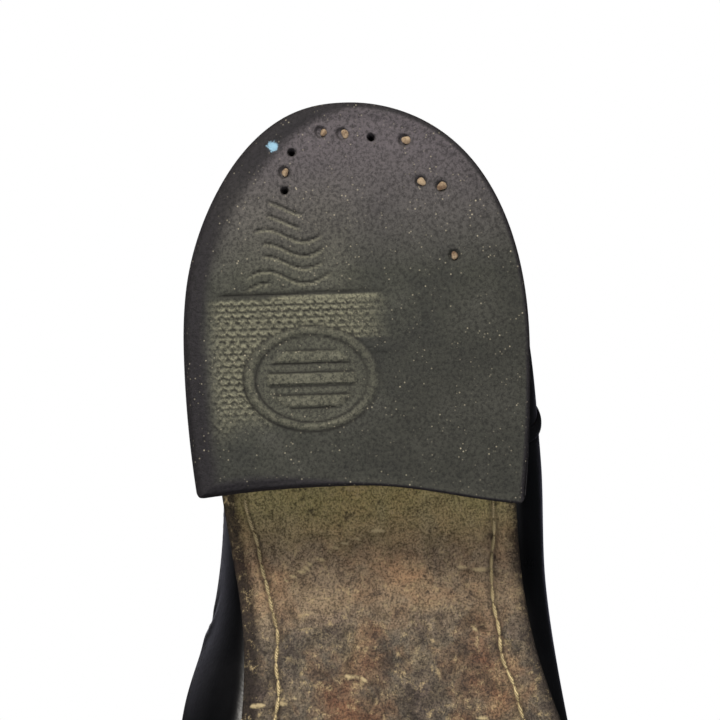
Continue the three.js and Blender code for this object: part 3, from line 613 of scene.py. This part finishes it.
floor = begin("floor", bpy.ops.mesh.primitive_plane_add, size=30, location=(0, 0, -1.1))
floor.visible_glossy = False
floorPaint, add, shader, place = newMaterial("palePaper", Roughness=0.9)
speckle = add("TexNoise", {"Vector": place, "Scale": 30, "Detail": 4})
paper = add("ValToRGB", {"Fac": speckle}, stops=[(0.3, "#e9e8e5"), (0.7, "#f2f1ee")])
connect(shader, {"Base Color": paper})
dress(floor, floorPaint)
print("camera, light and floor ready")

bending = dict(x=206.0, y=-4.0, slant=12.0, reach=36.0)
slant = math.radians(bending["slant"])
forward = np.array([math.cos(slant), -math.sin(slant), 0]) * bending["reach"]
ball = np.array([bending["x"], bending["y"], shoe["soleThickness"]])


def finishPiece(piece, material, body="rearfoot", nodes=()):
    dress(piece, material)
    if body == "bends":
        tuple(toWorld(ball - forward))
        tuple(toWorld(ball + forward))
        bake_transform(piece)
    else:
        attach(piece, body)
    if nodes:
        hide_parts(*nodes)
    print("made", piece.name, len(piece.data.polygons), "faces")


relief = dict(
    base=0.55, edgeInner=4.2, edgeOuter=1.1, ridgeX=37.6, ridgeWide=0.42, panelSunk=0.28,
    waveFrom=20.5, wavePitch=2.7, waveSwing=1.28, waveLong=15.0, waveCrest=9.8, waveDeep=0.36,
    waveWide=0.23,
    scaleWide=2.0, scaleDeep=1.2, scaleTall=0.3, scaleLine=0.22,
    badgeX=54.5, badgeY=9.0, badgeLong=9.5, badgeWide=12.0, badgeTall=0.42,
    tailX=48.4, tailWide=1.2, corner=1.9,
)
waveReach = [(10.2, 16.6), (10.5, 17.0), (6.4, 19.4), (6.0, 17.8), (6.2, 17.8), (4.6, 20.6), (16.4, 21.4)]
nailHeads = [
    (5.9, 5.4), (6.3, 1.2), (7.9, -10.9), (13.6, 13.3), (16.2, -13.6), (17.2, -17.6), (31, -19.7)]
emptyHoles = [(9.7, 11.6), (17.2, 13.4), (7.2, -4.4)]


def sideWidth(s):  # half width of the straight sides, from the round back (0) to the breast (1)
    return shoe["heelWidth"] / 2 + (shoe["breastWidth"] - shoe["heelWidth"]) / 2 * s ** 2


def treadOutline(a):  # x and half width, from the back (0) to the breast (1)
    part = 0.62
    angle = np.clip(a / part, 0, 1) * np.pi / 2
    power = 2 / shoe["roundness"]
    x = shoe["roundLength"] * (1 - np.cos(angle) ** power)
    half = shoe["heelWidth"] / 2 * np.sin(angle) ** power
    s = np.clip((a - part) / (1 - part), 0, 1)
    s = bunched(s)
    x = np.where(a > part, shoe["roundLength"] + s * (shoe["heelLength"] - shoe["roundLength"]), x)
    half = np.where(a > part, sideWidth(s), half)
    radius = relief["corner"]
    corner = np.clip((x - shoe["heelLength"] + radius) / radius, 0, 1)
    return x, half - radius * (1 - np.sqrt(1 - corner ** 2)), s


def treadRelief(x, y):  # how far the moulding stands out, its painted shade in the grooves, and its dust with painted highlights on lips and raised marks
    band = lambda v, low, high, soft: ease((v - low) / soft + 0.5) * ease((high - v) / soft + 0.5)
    fresh = 0.2 + 0.8 * ease((y + 8) / 12)  # the outer side is worn smooth
    ridge = line(x - relief["ridgeX"] - 0.12 * ripple(y, x, 9), relief["ridgeWide"])
    ridge = ridge * band(y, -6, 26.6, 3)
    # groove is painted shade: dark lines in the ridge, wave and scale grooves and round the badge
    groove = 0.95 * ridge
    height = -0.35 * ridge
    paintedLipHighlight = 0.0
    swing = relief["waveSwing"] * np.cos((y - relief["waveCrest"]) * 2 * np.pi / relief["waveLong"])
    for k, (low, high) in enumerate(waveReach):
        crest = relief["waveFrom"] + relief["wavePitch"] * k + 0.2 * np.sin(3 * k) + swing
        reach = band(y, low, high, 2.2)
        wave = line(x - crest, relief["waveWide"]) * reach
        groove = np.maximum(groove, 0.85 * wave)
        # painted highlight: a pale line on the lit lip behind each wave groove
        paintedLipHighlight = np.maximum(paintedLipHighlight, line(x - crest - 0.55, 0.3) * reach)
        height = height - relief["waveDeep"] * wave
    deep, wide = relief["scaleDeep"], relief["scaleWide"]
    arcs = np.zeros_like(x)
    shade = np.zeros_like(x)
    for shift in (0, 1):
        row = np.floor(x / deep) - shift
        dx = x - (row + 0.5) * deep + 0.5
        dy = np.mod(y / wide + 0.5 * np.mod(row, 2), 1) * wide - wide / 2
        arc = np.hypot(dx, dy) - wide / 2
        arcs = np.maximum(arcs, line(arc, relief["scaleLine"]) * (dx > -0.2))
        shade = np.maximum(shade, line(arc - 0.32, relief["scaleLine"]) * (dx > -0.2))
    farSide = np.where(x < 46.5, -5.0, 15.0)
    farSide = farSide + 1.5 * ripple(y, x, 12)
    panel = ease((x - 38.3) / 0.7) * ease((67 + 2 * ripple(x, y, 9) - x) / 12)
    panel = panel * band(y, farSide, 27.4, 4.5)
    away = np.hypot((x - relief["badgeX"]) / relief["badgeLong"],
                    (y - relief["badgeY"]) / relief["badgeWide"])
    within = ease((1.1 - away) / 0.05)
    panel = panel * (1 - within)
    height = height - relief["panelSunk"] * panel + relief["scaleTall"] * arcs * panel
    groove = np.maximum(groove, 0.95 * shade * panel)
    ring = line((away - 1) * 10.5, 0.62)
    outline = np.maximum(line((away - 1.1) * 10.5, 0.28), line((away - 0.9) * 10.5, 0.26))
    bars = np.zeros_like(x)
    barEdges = np.zeros_like(x)
    for k in (-1, 0, 1):
        inside = ease((0.74 - away) / 0.06)
        offset = np.abs(x - relief["badgeX"] - 4.4 * k)
        bars = np.maximum(bars, ease((1.25 - offset) / 0.4) * inside)
        barEdges = np.maximum(barEdges, line(offset - 1.35, 0.26) * inside)
    tailAt = relief["tailX"] - 0.05 * (y + 6) ** 2 / 10
    tail = ease((relief["tailWide"] - np.abs(x - tailAt)) / 0.4) * band(y, -9, -2.4, 3)
    tailEdge = line(np.abs(x - tailAt) - relief["tailWide"], 0.24) * band(y, -9, -2.4, 3)
    height = height + relief["badgeTall"] * (ring + bars + tail)
    groove = np.maximum(groove, np.maximum(np.maximum(outline, barEdges), tailEdge))
    # dust in the sunk panel and badge, with painted highlights on the raised ring and bars
    dustAndPaintedHighlight = np.maximum(panel * (0.5 + 0.7 * arcs), 0.16 * within + 0.2 * (ring + bars))
    dustAndPaintedHighlight = np.maximum(dustAndPaintedHighlight, 0.12 * band(y, 0, 24, 12) * band(x, 17, 40, 12))
    dustAndPaintedHighlight = np.maximum(dustAndPaintedHighlight, 0.6 * paintedLipHighlight)
    straw = line(x - relief["ridgeX"] - 0.75, 0.3) * band(y, -4, 16, 4)
    return height * fresh, groove * fresh, np.maximum(dustAndPaintedHighlight * fresh, 1.6 * straw)


def breastLine(y):  # how far the front face lies behind the heel's length; it slants to the outer side
    return shoe["breastHollow"] * (1 - (y / (shoe["breastWidth"] / 2)) ** 2) - 2.6 * ease(-y / 30)


def skew(x, y):  # the heel is fuller on the inner side, and its back rounder there
    return 1.9 * np.exp(-x / 5.5) + 0.7 * ease(y / 30) * ease((x - 12) / 25)


def treadRim(x, y):  # distance in from the edge of the tread
    q, power = shoe["roundLength"], shoe["roundness"]
    round_ = (np.abs(np.minimum(x - q, 0)) / q) ** power + (np.abs(y) / (shoe["heelWidth"] / 2)) ** power
    s = np.clip((x - q) / (shoe["heelLength"] - q), 0, 1)
    toRim = np.where(x < q, (1 - round_ ** (1 / power)) * 38, sideWidth(s) - np.abs(y))
    toFront = shoe["heelLength"] - breastLine(y) - x
    return np.clip(np.minimum(toRim, np.where(x > q, toFront * 1.6, 99)), 0, 99)


def heelTreadShape(a, b):
    x, half, s = treadOutline(a)
    side = bunched(1 - 2 * b)
    y = side * half
    hollow = breastLine(y)
    x = np.where(a > 0.62, x - hollow * s ** 2, x)
    rim = treadRim(x, y)
    edge = relief["edgeOuter"] + (relief["edgeInner"] - relief["edgeOuter"]) * ease((y + 6) / 28)
    inner = ease((rim - 1) / 2)
    uneven = 0.09 * ripple(x, y, 14) + 0.03 * ripple(x, y, 3, 1)
    z = rounding(rim, edge) + (relief["base"] + uneven - treadRelief(x, y)[0]) * inner
    for px, py in nailHeads:  # each nail stands in a dimple
        z = z + 0.8 * np.exp(-(np.hypot(x - px, y - py) / 1.15) ** 6)
    for px, py in emptyHoles:
        z = z + 3.2 * np.exp(-(np.hypot(x - px, y - py) / 0.62) ** 4)
    return np.stack([x, y + skew(x, y), np.maximum(z, 0)], 1)


def markTread(piece):
    x, y, z = (vertexPlaces(piece) - np.array(heelBack)).T * 1000
    y = y - skew(x, y)
    _, groove, dustAndPaintedHighlight = treadRelief(x, y)
    low = ease((2.2 - z) / 0.8)
    # painted shade: a dark ring round each nail head, and dark empty holes
    for px, py in nailHeads:
        groove = np.maximum(groove, 0.5 * line(np.hypot(x - px, y - py) - 1.0, 0.25))
    for px, py in emptyHoles:
        groove = np.maximum(groove, np.exp(-(np.hypot(x - px, y - py) / 0.8) ** 4))
    markVertices(piece, "groove", groove * low)
    markVertices(piece, "dustAndPaintedHighlight", dustAndPaintedHighlight * low)
    # painted shade on the rounded rim band, wider on the inner side; the side wall above 3 mm is marked
    # too
    edge = 1.3 + 5.6 * ease((y + 4) / 26)
    markVertices(piece, "paintedRimShadeAndWall", np.maximum(ease((edge - treadRim(x, y)) / edge * 1.9), z > 3))


def wallUp(piece, height, grow):  # draws the open rim up into a wall and closes the top
    selectOnly(piece)
    bpy.ops.object.mode_set(mode="EDIT")
    bpy.ops.mesh.select_mode(type="VERT")
    bpy.ops.mesh.select_all(action="DESELECT")
    bpy.ops.mesh.select_non_manifold()
    bpy.ops.mesh.extrude_region_move()
    bpy.ops.object.mode_set(mode="OBJECT")
    chosen = np.zeros(len(piece.data.vertices), bool)
    piece.data.vertices.foreach_get("select", chosen)
    places = vertexPlaces(piece)
    centre = toWorld([shoe["roundLength"], 0, 0])
    away = (places - centre)[chosen, :2]
    places[chosen, :2] += unit(away) * grow / 1000
    places[chosen, 2] = height / 1000
    moveVertices(piece, places)
    bpy.ops.object.mode_set(mode="EDIT")
    bpy.ops.mesh.edge_face_add()
    selectAll()
    turnOut()
    bpy.ops.object.mode_set(mode="OBJECT")
    smooth(piece)


heelTread = makeSheet("heelTread", 318, 300, heelTreadShape, 0, bevel=0)
wallUp(heelTread, shoe["treadThickness"], 0.4)
markTread(heelTread)
finishPiece(heelTread, rubber, nodes=["heel_tread"])


def heelOutline(count):  # closed outline of the heel, evenly spaced, from the inner front corner
    a = np.linspace(1, 0, 160)
    x, half, _ = treadOutline(a)
    y = np.linspace(-half[0], half[0], 60)[1:-1]
    hollow = shoe["breastHollow"] * (1 - (y / (shoe["breastWidth"] / 2)) ** 2)
    loop = np.concatenate([
        np.column_stack([x, half]), np.column_stack([x[::-1], -half[::-1]])[1:],
        np.column_stack([shoe["heelLength"] - hollow, y])])
    closed = np.vstack([loop, loop[:1]])
    run = np.concatenate([[0], np.cumsum(np.linalg.norm(np.diff(closed, axis=0), axis=1))])
    at = np.linspace(0, run[-1], count, endpoint=False)
    even = np.column_stack([np.interp(at, run, closed[:, k]) for k in (0, 1)])
    along = unit(np.roll(even, -2, axis=0) - np.roll(even, 2, axis=0))
    return even, np.stack([-along[:, 1], along[:, 0]], 1)


stack = dict(bottom=7.9, top=27.8, lift=5.0, joint=0.3, jointDepth=0.45, seat=1.6)


def heelStackShape(a, b):
    outline, away = heelOutline(360)
    at = np.mod(np.round(a * 360).astype(int), 360)
    z = stack["bottom"] + b * (stack["top"] - stack["bottom"])
    grow = shoe["flare"] * z / shoe["heelHeight"] - 0.05
    grow = grow + 0.12 * np.sin(np.floor((z - 8) / stack["lift"]) * 2.1)  # lifts cut a little unevenly
    toJoint = np.abs(np.mod(z - 8 + stack["lift"] / 2, stack["lift"]) - stack["lift"] / 2)
    grow = grow - stack["jointDepth"] * line(toJoint, stack["joint"])
    p = outline[at] + away[at] * grow[:, None]
    p[:, 1] += skew(p[:, 0], p[:, 1]) * ease((16 - z) / 10)
    return np.column_stack([p, z])


heelStack = makeSheet("heelStack", 360, 84, heelStackShape, 0, bevel=0)
editMesh(heelStack, partial(bpy.ops.mesh.fill_holes, sides=0), selectAll, turnOut)
smooth(heelStack, 50)
finishPiece(heelStack, edgeInk, nodes=[
    "heel_lift_1", "heel_lift_2", "heel_lift_3", "heel_rand"])

nails = dict(head=0.86, crown=0.22, back=0.4, sunk=0.85, smallest=0.85)
heelNails = begin(
    "heelNails", bpy.ops.mesh.primitive_uv_sphere_add, segments=20, ring_count=10, radius=1)
dome = vertexPlaces(heelNails)
around = np.arctan2(dome[:, 1], dome[:, 0])
for number, (x, y) in enumerate(nailHeads):
    nail = heelNails
    if number:
        nail = addObject("nail", heelNails.data.copy())
    ragged = 1 + 0.14 * np.sin(2 * around + number * 2.4) + 0.08 * np.sin(3 * around + number)
    wide = nails["head"] * ragged * (nails["smallest"] + 0.1 * (number % 3))
    deep = np.where(dome[:, 2] < 0, nails["crown"], nails["back"])
    head = dome * np.column_stack([wide, wide, deep])
    moveVertices(nail, toWorld(head + [x, y, nails["sunk"]]))
    nail.select_set(True)
bpy.ops.object.join()
smooth(heelNails, 60)
finishPiece(heelNails, nailSteel, nodes=["heel_nail_%d" % k for k in range(1, 8)])

seam = dict(
    breast=4.9, waist=7.2, waistFrom=78, waistTo=112, forepart=6.4, forepartFrom=130, forepartTo=190,
    pitch=3.6, length=3.75, width=0.92, depth=0.35, wander=0.28, edge=1.3, sunk=0.15)


def seamInset(u):  # how far the stitching runs in from the sole's edge
    x = rowAt(u)[:, 0]
    waist = ease((x - seam["waistFrom"]) / (seam["waistTo"] - seam["waistFrom"]))
    forepart = ease((x - seam["forepartFrom"]) / (seam["forepartTo"] - seam["forepartFrom"]))
    inset = seam["breast"] + (seam["waist"] - seam["breast"]) * waist
    return inset + (seam["forepart"] - seam["waist"]) * forepart


seamU = np.linspace(0.14, 0.86, 1100)
seamLine = soleEdge(seamU, seamInset(seamU))[0]
seamLine[:, 1] += seam["wander"] * ripple(seamLine[:, 0], 0, 11, 2)


def nearest(points, path):
    best = np.full(len(points), 99.0)
    for chunk in np.array_split(path, 30):
        best = np.minimum(best, np.linalg.norm(points[:, None, :] - chunk[None], axis=2).min(1))
    return best


creases = [  # pale cracks across the waist: from, to and depth
    (99, 17, 93.5, 8.5, 0.3), (92.8, 8, 91, 3, 0.3), (90.5, 2.5, 88.6, -5, 0.35), (97, -20, 98, -29, 0.4),
    (110, -22, 109.5, -26, 0.7), (124, 25, 122.5, 15, 0.35), (118, 6, 120, -4, 0.25),
    (131, -14, 127, -25, 0.3),
]
scuffs = [(114, 14, 2.6), (109, 10, 3.2), (120, 8, 3.0), (104, -13, 3.4), (96, 12, 2.0)]  # at, width


def soleMarks(x, y):  # depth of the creases, and how far the leather beside them is scuffed
    depth, scuff = np.zeros_like(x), np.zeros_like(x)
    for x0, y0, x1, y1, deep in creases:
        long = np.hypot(x1 - x0, y1 - y0)
        ux, uy = (x1 - x0) / long, (y1 - y0) / long
        along = (x - x0) * ux + (y - y0) * uy
        across = (x - x0) * uy - (y - y0) * ux + 0.35 * ripple(x, y, 5, 2)
        here = ease(along / 2 + 0.5) * ease((long - along) / 2 + 0.5)
        depth = np.maximum(depth, deep * line(across, 0.35) * here)
        scuff = np.maximum(scuff, 0.7 * line(across - 0.45, 0.3) * here)
    for cx, cy, wide in scuffs:
        blob = np.hypot(x - cx, (y - cy) / 1.5) + 1.8 * ripple(x, y, 3, 1)
        scuff = np.maximum(scuff, 0.22 * ease((wide - blob) / 2.2))
    return depth, scuff


def soleRelief(x, y, toRim, p):
    near = nearest(p, seamLine)
    groove = seam["depth"] * line(near, 0.8)
    dips = 0.16 * ripple(x, y, 26) + 0.07 * ripple(x, y, 8, 1) + 0.03 * ripple(x, y, 2.5, 2)
    inner = ease((toRim - 1) / 2)
    sunk = groove + dips * ease((near - 0.5) / 1.5) + soleMarks(x, y)[0] + seam["sunk"]
    return rounding(toRim, seam["edge"]) + sunk * inner


def soleShape(a, b):
    side = bunched(1 - 2 * b)
    outerSide, innerSide = soleEdge(a / 2)[0], soleEdge(1 - a / 2)[0]
    p = (outerSide + innerSide) / 2 + side[:, None] * (innerSide - outerSide) / 2
    width = np.linalg.norm(innerSide - outerSide, axis=1)
    toRim = np.minimum((1 - np.abs(side)) * width / 2, np.minimum(a, 1 - a) * 300)
    return np.column_stack([p, pitch(p[:, 0]) + soleRelief(p[:, 0], p[:, 1], toRim, p)])


outsole = makeSheet("outsole", 420, 110, soleShape, 0, bevel=0)
closeDown(outsole, 4.9)
places = vertexPlaces(outsole)  # the top side is cut level again
top = places[:, 2] * 1000 > pitch((places[:, 0] - heelBack.x) * 1000) + 3.2
places[top, 2] = (pitch((places[top, 0] - heelBack.x) * 1000) + shoe["soleThickness"]) / 1000
moveVertices(outsole, places)
smooth(outsole, 50)
flat = (places - np.array(heelBack))[:, :2] * 1000
rimPath = soleEdge(np.linspace(0, 1, 900))[0]
darker = 0.78 + 0.4 * ease((flat[:, 1] + 15) / 35)
markVertices(outsole, "rim", darker * (1 - np.clip(nearest(flat, rimPath) / 6.5, 0, 1)))
# painted shade beside the stitch row and in the cracks
markVertices(outsole, "groove", 0.55 * np.exp(-((nearest(flat, seamLine) - 0.6) / 0.3) ** 2)
             + 1.2 * soleMarks(*flat.T)[0])
markVertices(outsole, "scuff", soleMarks(*flat.T)[1])
finishPiece(outsole, bend, "bends", ["outsole_rear", "outsole_forepart"])

showing = (seamU > 0.146) & (seamU < 0.854)
path = np.column_stack([seamLine, pitch(seamLine[:, 0]) + 0.42])[showing]
soleStitches = stitchRow("soleStitches", path, seam)
finishPiece(soleStitches, soleThread, "bends")


welt = dict(inset=0.4, squareness=0.35, notch=0.14, notches=420)
weltSeam = dict(inset=3.4, proud=0.12, pitch=3.2, length=2.7, width=0.8)


def weltShape(u, turn):  # a rounded bar in section
    c, s = np.cos(turn), np.sin(turn)
    across = np.sign(c) * np.abs(c) ** welt["squareness"]
    rise = np.sign(s) * np.abs(s) ** welt["squareness"]
    inset = welt["inset"] + (shoe["weltWidth"] - welt["inset"]) * (1 - across) / 2
    z = shoe["weltBottom"] + shoe["weltThickness"] * (1 + rise) / 2
    fudge = (rise > 0.5) * (inset < 6) * welt["notch"] * np.sin(u * 2 * np.pi * welt["notches"])
    p = soleEdge(u, inset)[0]
    return np.column_stack([p, pitch(p[:, 0]) + z + fudge])


weltStrip = makeRing("weltStrip", 1680, 20, weltShape)
finishPiece(weltStrip, edgeInk, "bends", ["welt_rear", "welt_forepart"])
path = soleEdge(np.linspace(0, 1, 1400), weltSeam["inset"])[0]
weltTop = shoe["weltBottom"] + shoe["weltThickness"]
path = np.column_stack([path, pitch(path[:, 0]) + weltTop + weltSeam["proud"]])
weltStitches = stitchRow("weltStitches", path, weltSeam)
finishPiece(weltStitches, weltThread, "bends")


def plateShape(inset, height):
    def shape(a, b):
        outerSide, innerSide = [soleEdge(u, rowAt(u)[:, 2] + inset)[0] for u in (a / 2, 1 - a / 2)]
        p = outerSide + (innerSide - outerSide) * (1 - b)[:, None]
        return np.column_stack([p, pitch(p[:, 0]) + height])
    return shape


def addPlate(name, inset, bottom, thickness, material, nodes):
    piece = makeSheet(name, 160, 40, plateShape(inset, bottom), 0, bevel=0)
    closeDown(piece, thickness)
    smooth(piece)
    finishPiece(piece, material, "bends", nodes)


# inset from the foot line, height of the bottom and thickness
addPlate("corkFiller", 5.4, 5.3, 2.9, cork, ["cork_filler_rear", "cork_filler_forepart"])
addPlate("insoleBoard", 0.6, 8.6, 2.8, board, ["insole_rear", "insole_forepart"])
addPlate("sockLining", 0.7, 11.6, 1.3, liningLeather,
         ["sock_lining_rear", "sock_lining_forepart"])

upper = dict(
    outerThick=1.7, middleThick=1.3, goreThick=1.0, liningThick=1.1, liningOut=1.2, stayThick=1.0,
    pipingThick=1.6, pipingHalf=1.7, pipingStand=0.6, creaseDepth=0.75, fold=0.35, lasted=0.9)
# creases across the ball: at, depth, width, wander
folds = [(-27, 0.5, 2.8, 3), (-13, 0.9, 2.4, 2.5), (-2, 1.0, 2.0, 2), (10, 0.6, 2.4, 3)]
sideFolds = [(1, 118, 24, -1.6, 0.5), (-1, 101, 26, 1.3, 0.35)]  # side, x, height, lean, depth
lateral, medial = shoe["seamLateral"], shoe["seamMedial"]
share = lambda mm: mm / shoe["aroundShoe"]
always = lambda value: (lambda s: np.full(np.shape(s), float(value)))


def panel(uFrom, uTo, low, high, out, extra=None):
    def shape(a, b):
        u, t = a, b
        for _ in range(3):
            u = uFrom(t) + (uTo(t) - uFrom(t)) * a
            t = low(u) + (high(u) - low(u)) * b
        return skin(u, t, out + (extra(u, t) if extra else 0.0))
    return shape


def wrinkles(u, t):  # folds that walking presses into the upper
    p = skin(u, t, 0)
    ahead = (p[:, 0] - bending["x"]) * math.cos(slant) - (p[:, 1] - bending["y"]) * math.sin(slant)
    rise = p[:, 2] - pitch(p[:, 0]) - shoe["footLine"]
    d = np.zeros(len(p))
    for centre, depth, width, wander in folds:
        s = ahead - centre + wander * ripple(p[:, 1], rise, 34, 1)
        d = d - upper["creaseDepth"] * depth * line(s, width) + 0.4 * depth * line(s - 5, 4.5)
    d = d * ease((rise - 6) / 22)
    d = d + 0.35 * ripple(p[:, 0], p[:, 2] * 1.6, 60) * ease(rise / 12)
    for sign, cx, cz, lean, depth in sideFolds:
        s = p[:, 0] - cx + lean * (rise - cz) + 0.6 * ripple(p[:, 0], rise, 18, 2)
        s = s / math.hypot(1, lean)
        here = depth * ease(p[:, 1] * sign / 8) * ease((10 - np.abs(rise - cz)) / 6)
        d = d + here * (0.6 * line(s - 1.8, 1.2) - line(s, 0.8))
    return d


def lastedUnder(t):  # drawn in beside the sole
    return -upper["lasted"] * (1 - ease(t / 0.035))


def outerLeather(u, t):  # creased, and drawn in where its top edge is folded
    return wrinkles(u, t) + lastedUnder(t) - upper["fold"] * ease((t - topEdge(u) + 0.012) / 0.012)


beside = share(upper["pipingHalf"] + 0.1)
for name, grid, uFrom, uTo, body, nodes in (
        ("vamp", (330, 84), lateral + beside, medial - beside, "bends",
         ["vamp_rear", "vamp_toe", "vamp_fold", "vamp_interlining_lateral", "vamp_interlining_medial",
          "vamp_interlining_toe"]),
        ("heelFoxing", (150, 60), medial - 1 + beside, lateral - beside, "rearfoot", ["heel_foxing"])):
    shape = panel(always(uFrom), always(uTo), always(0), topEdge, shoe["outerTo"], outerLeather)
    finishPiece(makeSheet(name, *grid, shape, upper["outerThick"]), calf, body, nodes)

half = share(upper["pipingHalf"])
for side, seamAt in (("Lateral", lateral), ("Medial", medial)):
    def bead(u, t):  # round across, lasted under with the rest
        across = np.sqrt(np.clip(1 - ((u - seamAt) / half) ** 2, 0, 1))
        return upper["pipingStand"] * across + lastedUnder(t) - 0.1

    shape = panel(always(seamAt - half), always(seamAt + half), always(0), topEdge, shoe["outerTo"], bead)
    piping = makeSheet("sidePiping" + side, 14, 60, shape, upper["pipingThick"], bevel=0)
    finishPiece(piping, calf, nodes=["side_piping_" + side.lower()])


def goreEdge(low, high):  # one side of a gore, which widens upwards
    return lambda t: low + (high - low) * np.clip((t - 0.4) / 0.6, 0, 1)


def softSide(u, t):  # lapped under the outer leather, less creased, a little slack
    under = 0.75 * (1 - ease((t - topEdge(u) + 0.01) / 0.02))
    return 0.6 * wrinkles(u, t) - under + 0.25 * ripple(u * 760, t * 90, 30)


goreBack, goreFront = goreEdge(0.285, 0.242), goreEdge(0.305, 0.338)
tuck = lambda u: topEdge(u) - 0.1
straight = lambda way: way
flipped = lambda way: (lambda t: 1 - way(t))
toCollar = always(1)
ajar = share(0.5)
middleTo = shoe["middleFrom"] + 1.5
middlePieces = (
    ("quarter", (150, 70), always(ajar / 2), lambda t: goreBack(t) - ajar * 0.4, 0,
     upper["middleThick"], calf, "upper_leather"),
    ("gore", (60, 70), goreBack, goreFront, 0.35, upper["goreThick"], elastic, "elastic"))
for side, turnSide in (("Lateral", straight), ("Medial", flipped)):
    for name, grid, start, end, lower, thickness, material, slot in middlePieces:
        ends = [turnSide(start), turnSide(end)][::1 if side == "Lateral" else -1]
        shape = panel(*ends, tuck, toCollar, middleTo - lower, softSide)
        piece = makeSheet(name + side, *grid, shape, thickness)
        finishPiece(piece, material, nodes=[name + "_" + side.lower()])
tongueSide = lambda t: goreFront(t) + ajar * 0.4
instepTongue = makeSheet("instepTongue", 170, 70, panel(
    tongueSide, flipped(tongueSide), tuck, toCollar, middleTo, softSide), upper["middleThick"])
finishPiece(instepTongue, calf, "bends", ["instep_tongue"])
stayHalf = share(6)
backStay = makeSheet("backStay", 24, 60, panel(
    always(-stayHalf), always(stayHalf), lambda u: topEdge(u) + 0.012, always(0.975), middleTo + 1.0),
    upper["stayThick"])
finishPiece(backStay, calf, nodes=["back_stay"])

for name, grid, start, end, body, nodes in (
        ("vampLining", (200, 60), 0.25, 0.75, "bends", ["vamp_lining_rear", "vamp_lining_toe"]),
        ("quarterLining", (160, 60), ajar - 0.25, 0.25 - ajar, "rearfoot", ["quarter_lining"])):
    shape = panel(always(start), always(end), always(0), toCollar, upper["liningOut"])
    piece = makeSheet(name, *grid, shape, upper["liningThick"])
    finishPiece(piece, liningLeather, body, nodes)

collar = dict(radius=2.2, pucker=0.08, puckers=150, stand=2.6, out=1.5)


def collarShape(u, turn):
    middle = skin(u, 1.0, collar["out"])
    up = unit(middle - skin(u, 0.97, collar["out"]))
    out = unit(skin(u, 1.0, collar["out"] + 1) - middle)
    r = collar["radius"] + collar["pucker"] * np.sin(u * 2 * np.pi * collar["puckers"])
    roll = out * (r * np.cos(turn))[:, None] + up * (r * np.sin(turn))[:, None]
    return middle + up * collar["stand"] + roll


collarBinding = makeRing("collarBinding", 600, 18, collarShape)
finishPiece(collarBinding, calf, nodes=["collar_binding"])

stitch = dict(pitch=2.6, length=2.1, width=0.55, proud=0.08, sunk=0.2)


def addStitches(name, path, body="rearfoot"):
    finishPiece(stitchRow(name, path, stitch), blackThread, body)


for inset in (0.024, 0.042):  # two rows along the edge of the outer leather
    for name, start, end, body in (("Vamp", lateral, medial, "bends"),
                                   ("Foxing", medial - 1, lateral, "rearfoot")):
        u = np.linspace(start + 0.006, end - 0.006, 700)
        t = topEdge(u) - inset
        path = skin(u, t, shoe["outerTo"] + wrinkles(u, t) - stitch["sunk"])
        addStitches("stitches%s%d" % (name, int(inset * 1000)), path, body)
for side, turnSide in (("Lateral", straight), ("Medial", flipped)):
    for edgeName, way, off, low in (("Back", goreBack, -0.004, 0.56), ("Front", goreFront, 0.004, 0.6)):
        t = np.linspace(low, 0.98, 200)
        u = turnSide(lambda s: way(s) + off)(t)
        path = skin(u, t, middleTo + softSide(u, t) + stitch["proud"])
        addStitches("stitchesGore" + side + edgeName, path)
addStitches("stitchesCollar", skin(np.linspace(0, 1, 700), 0.965, middleTo + 0.3))

for name, material in (("heel_screw", springSteel), ("shank", springSteel), ("toe_puff", board),
                       ("heel_counter", board)):
    dress(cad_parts[name], material)
print("all pieces made")
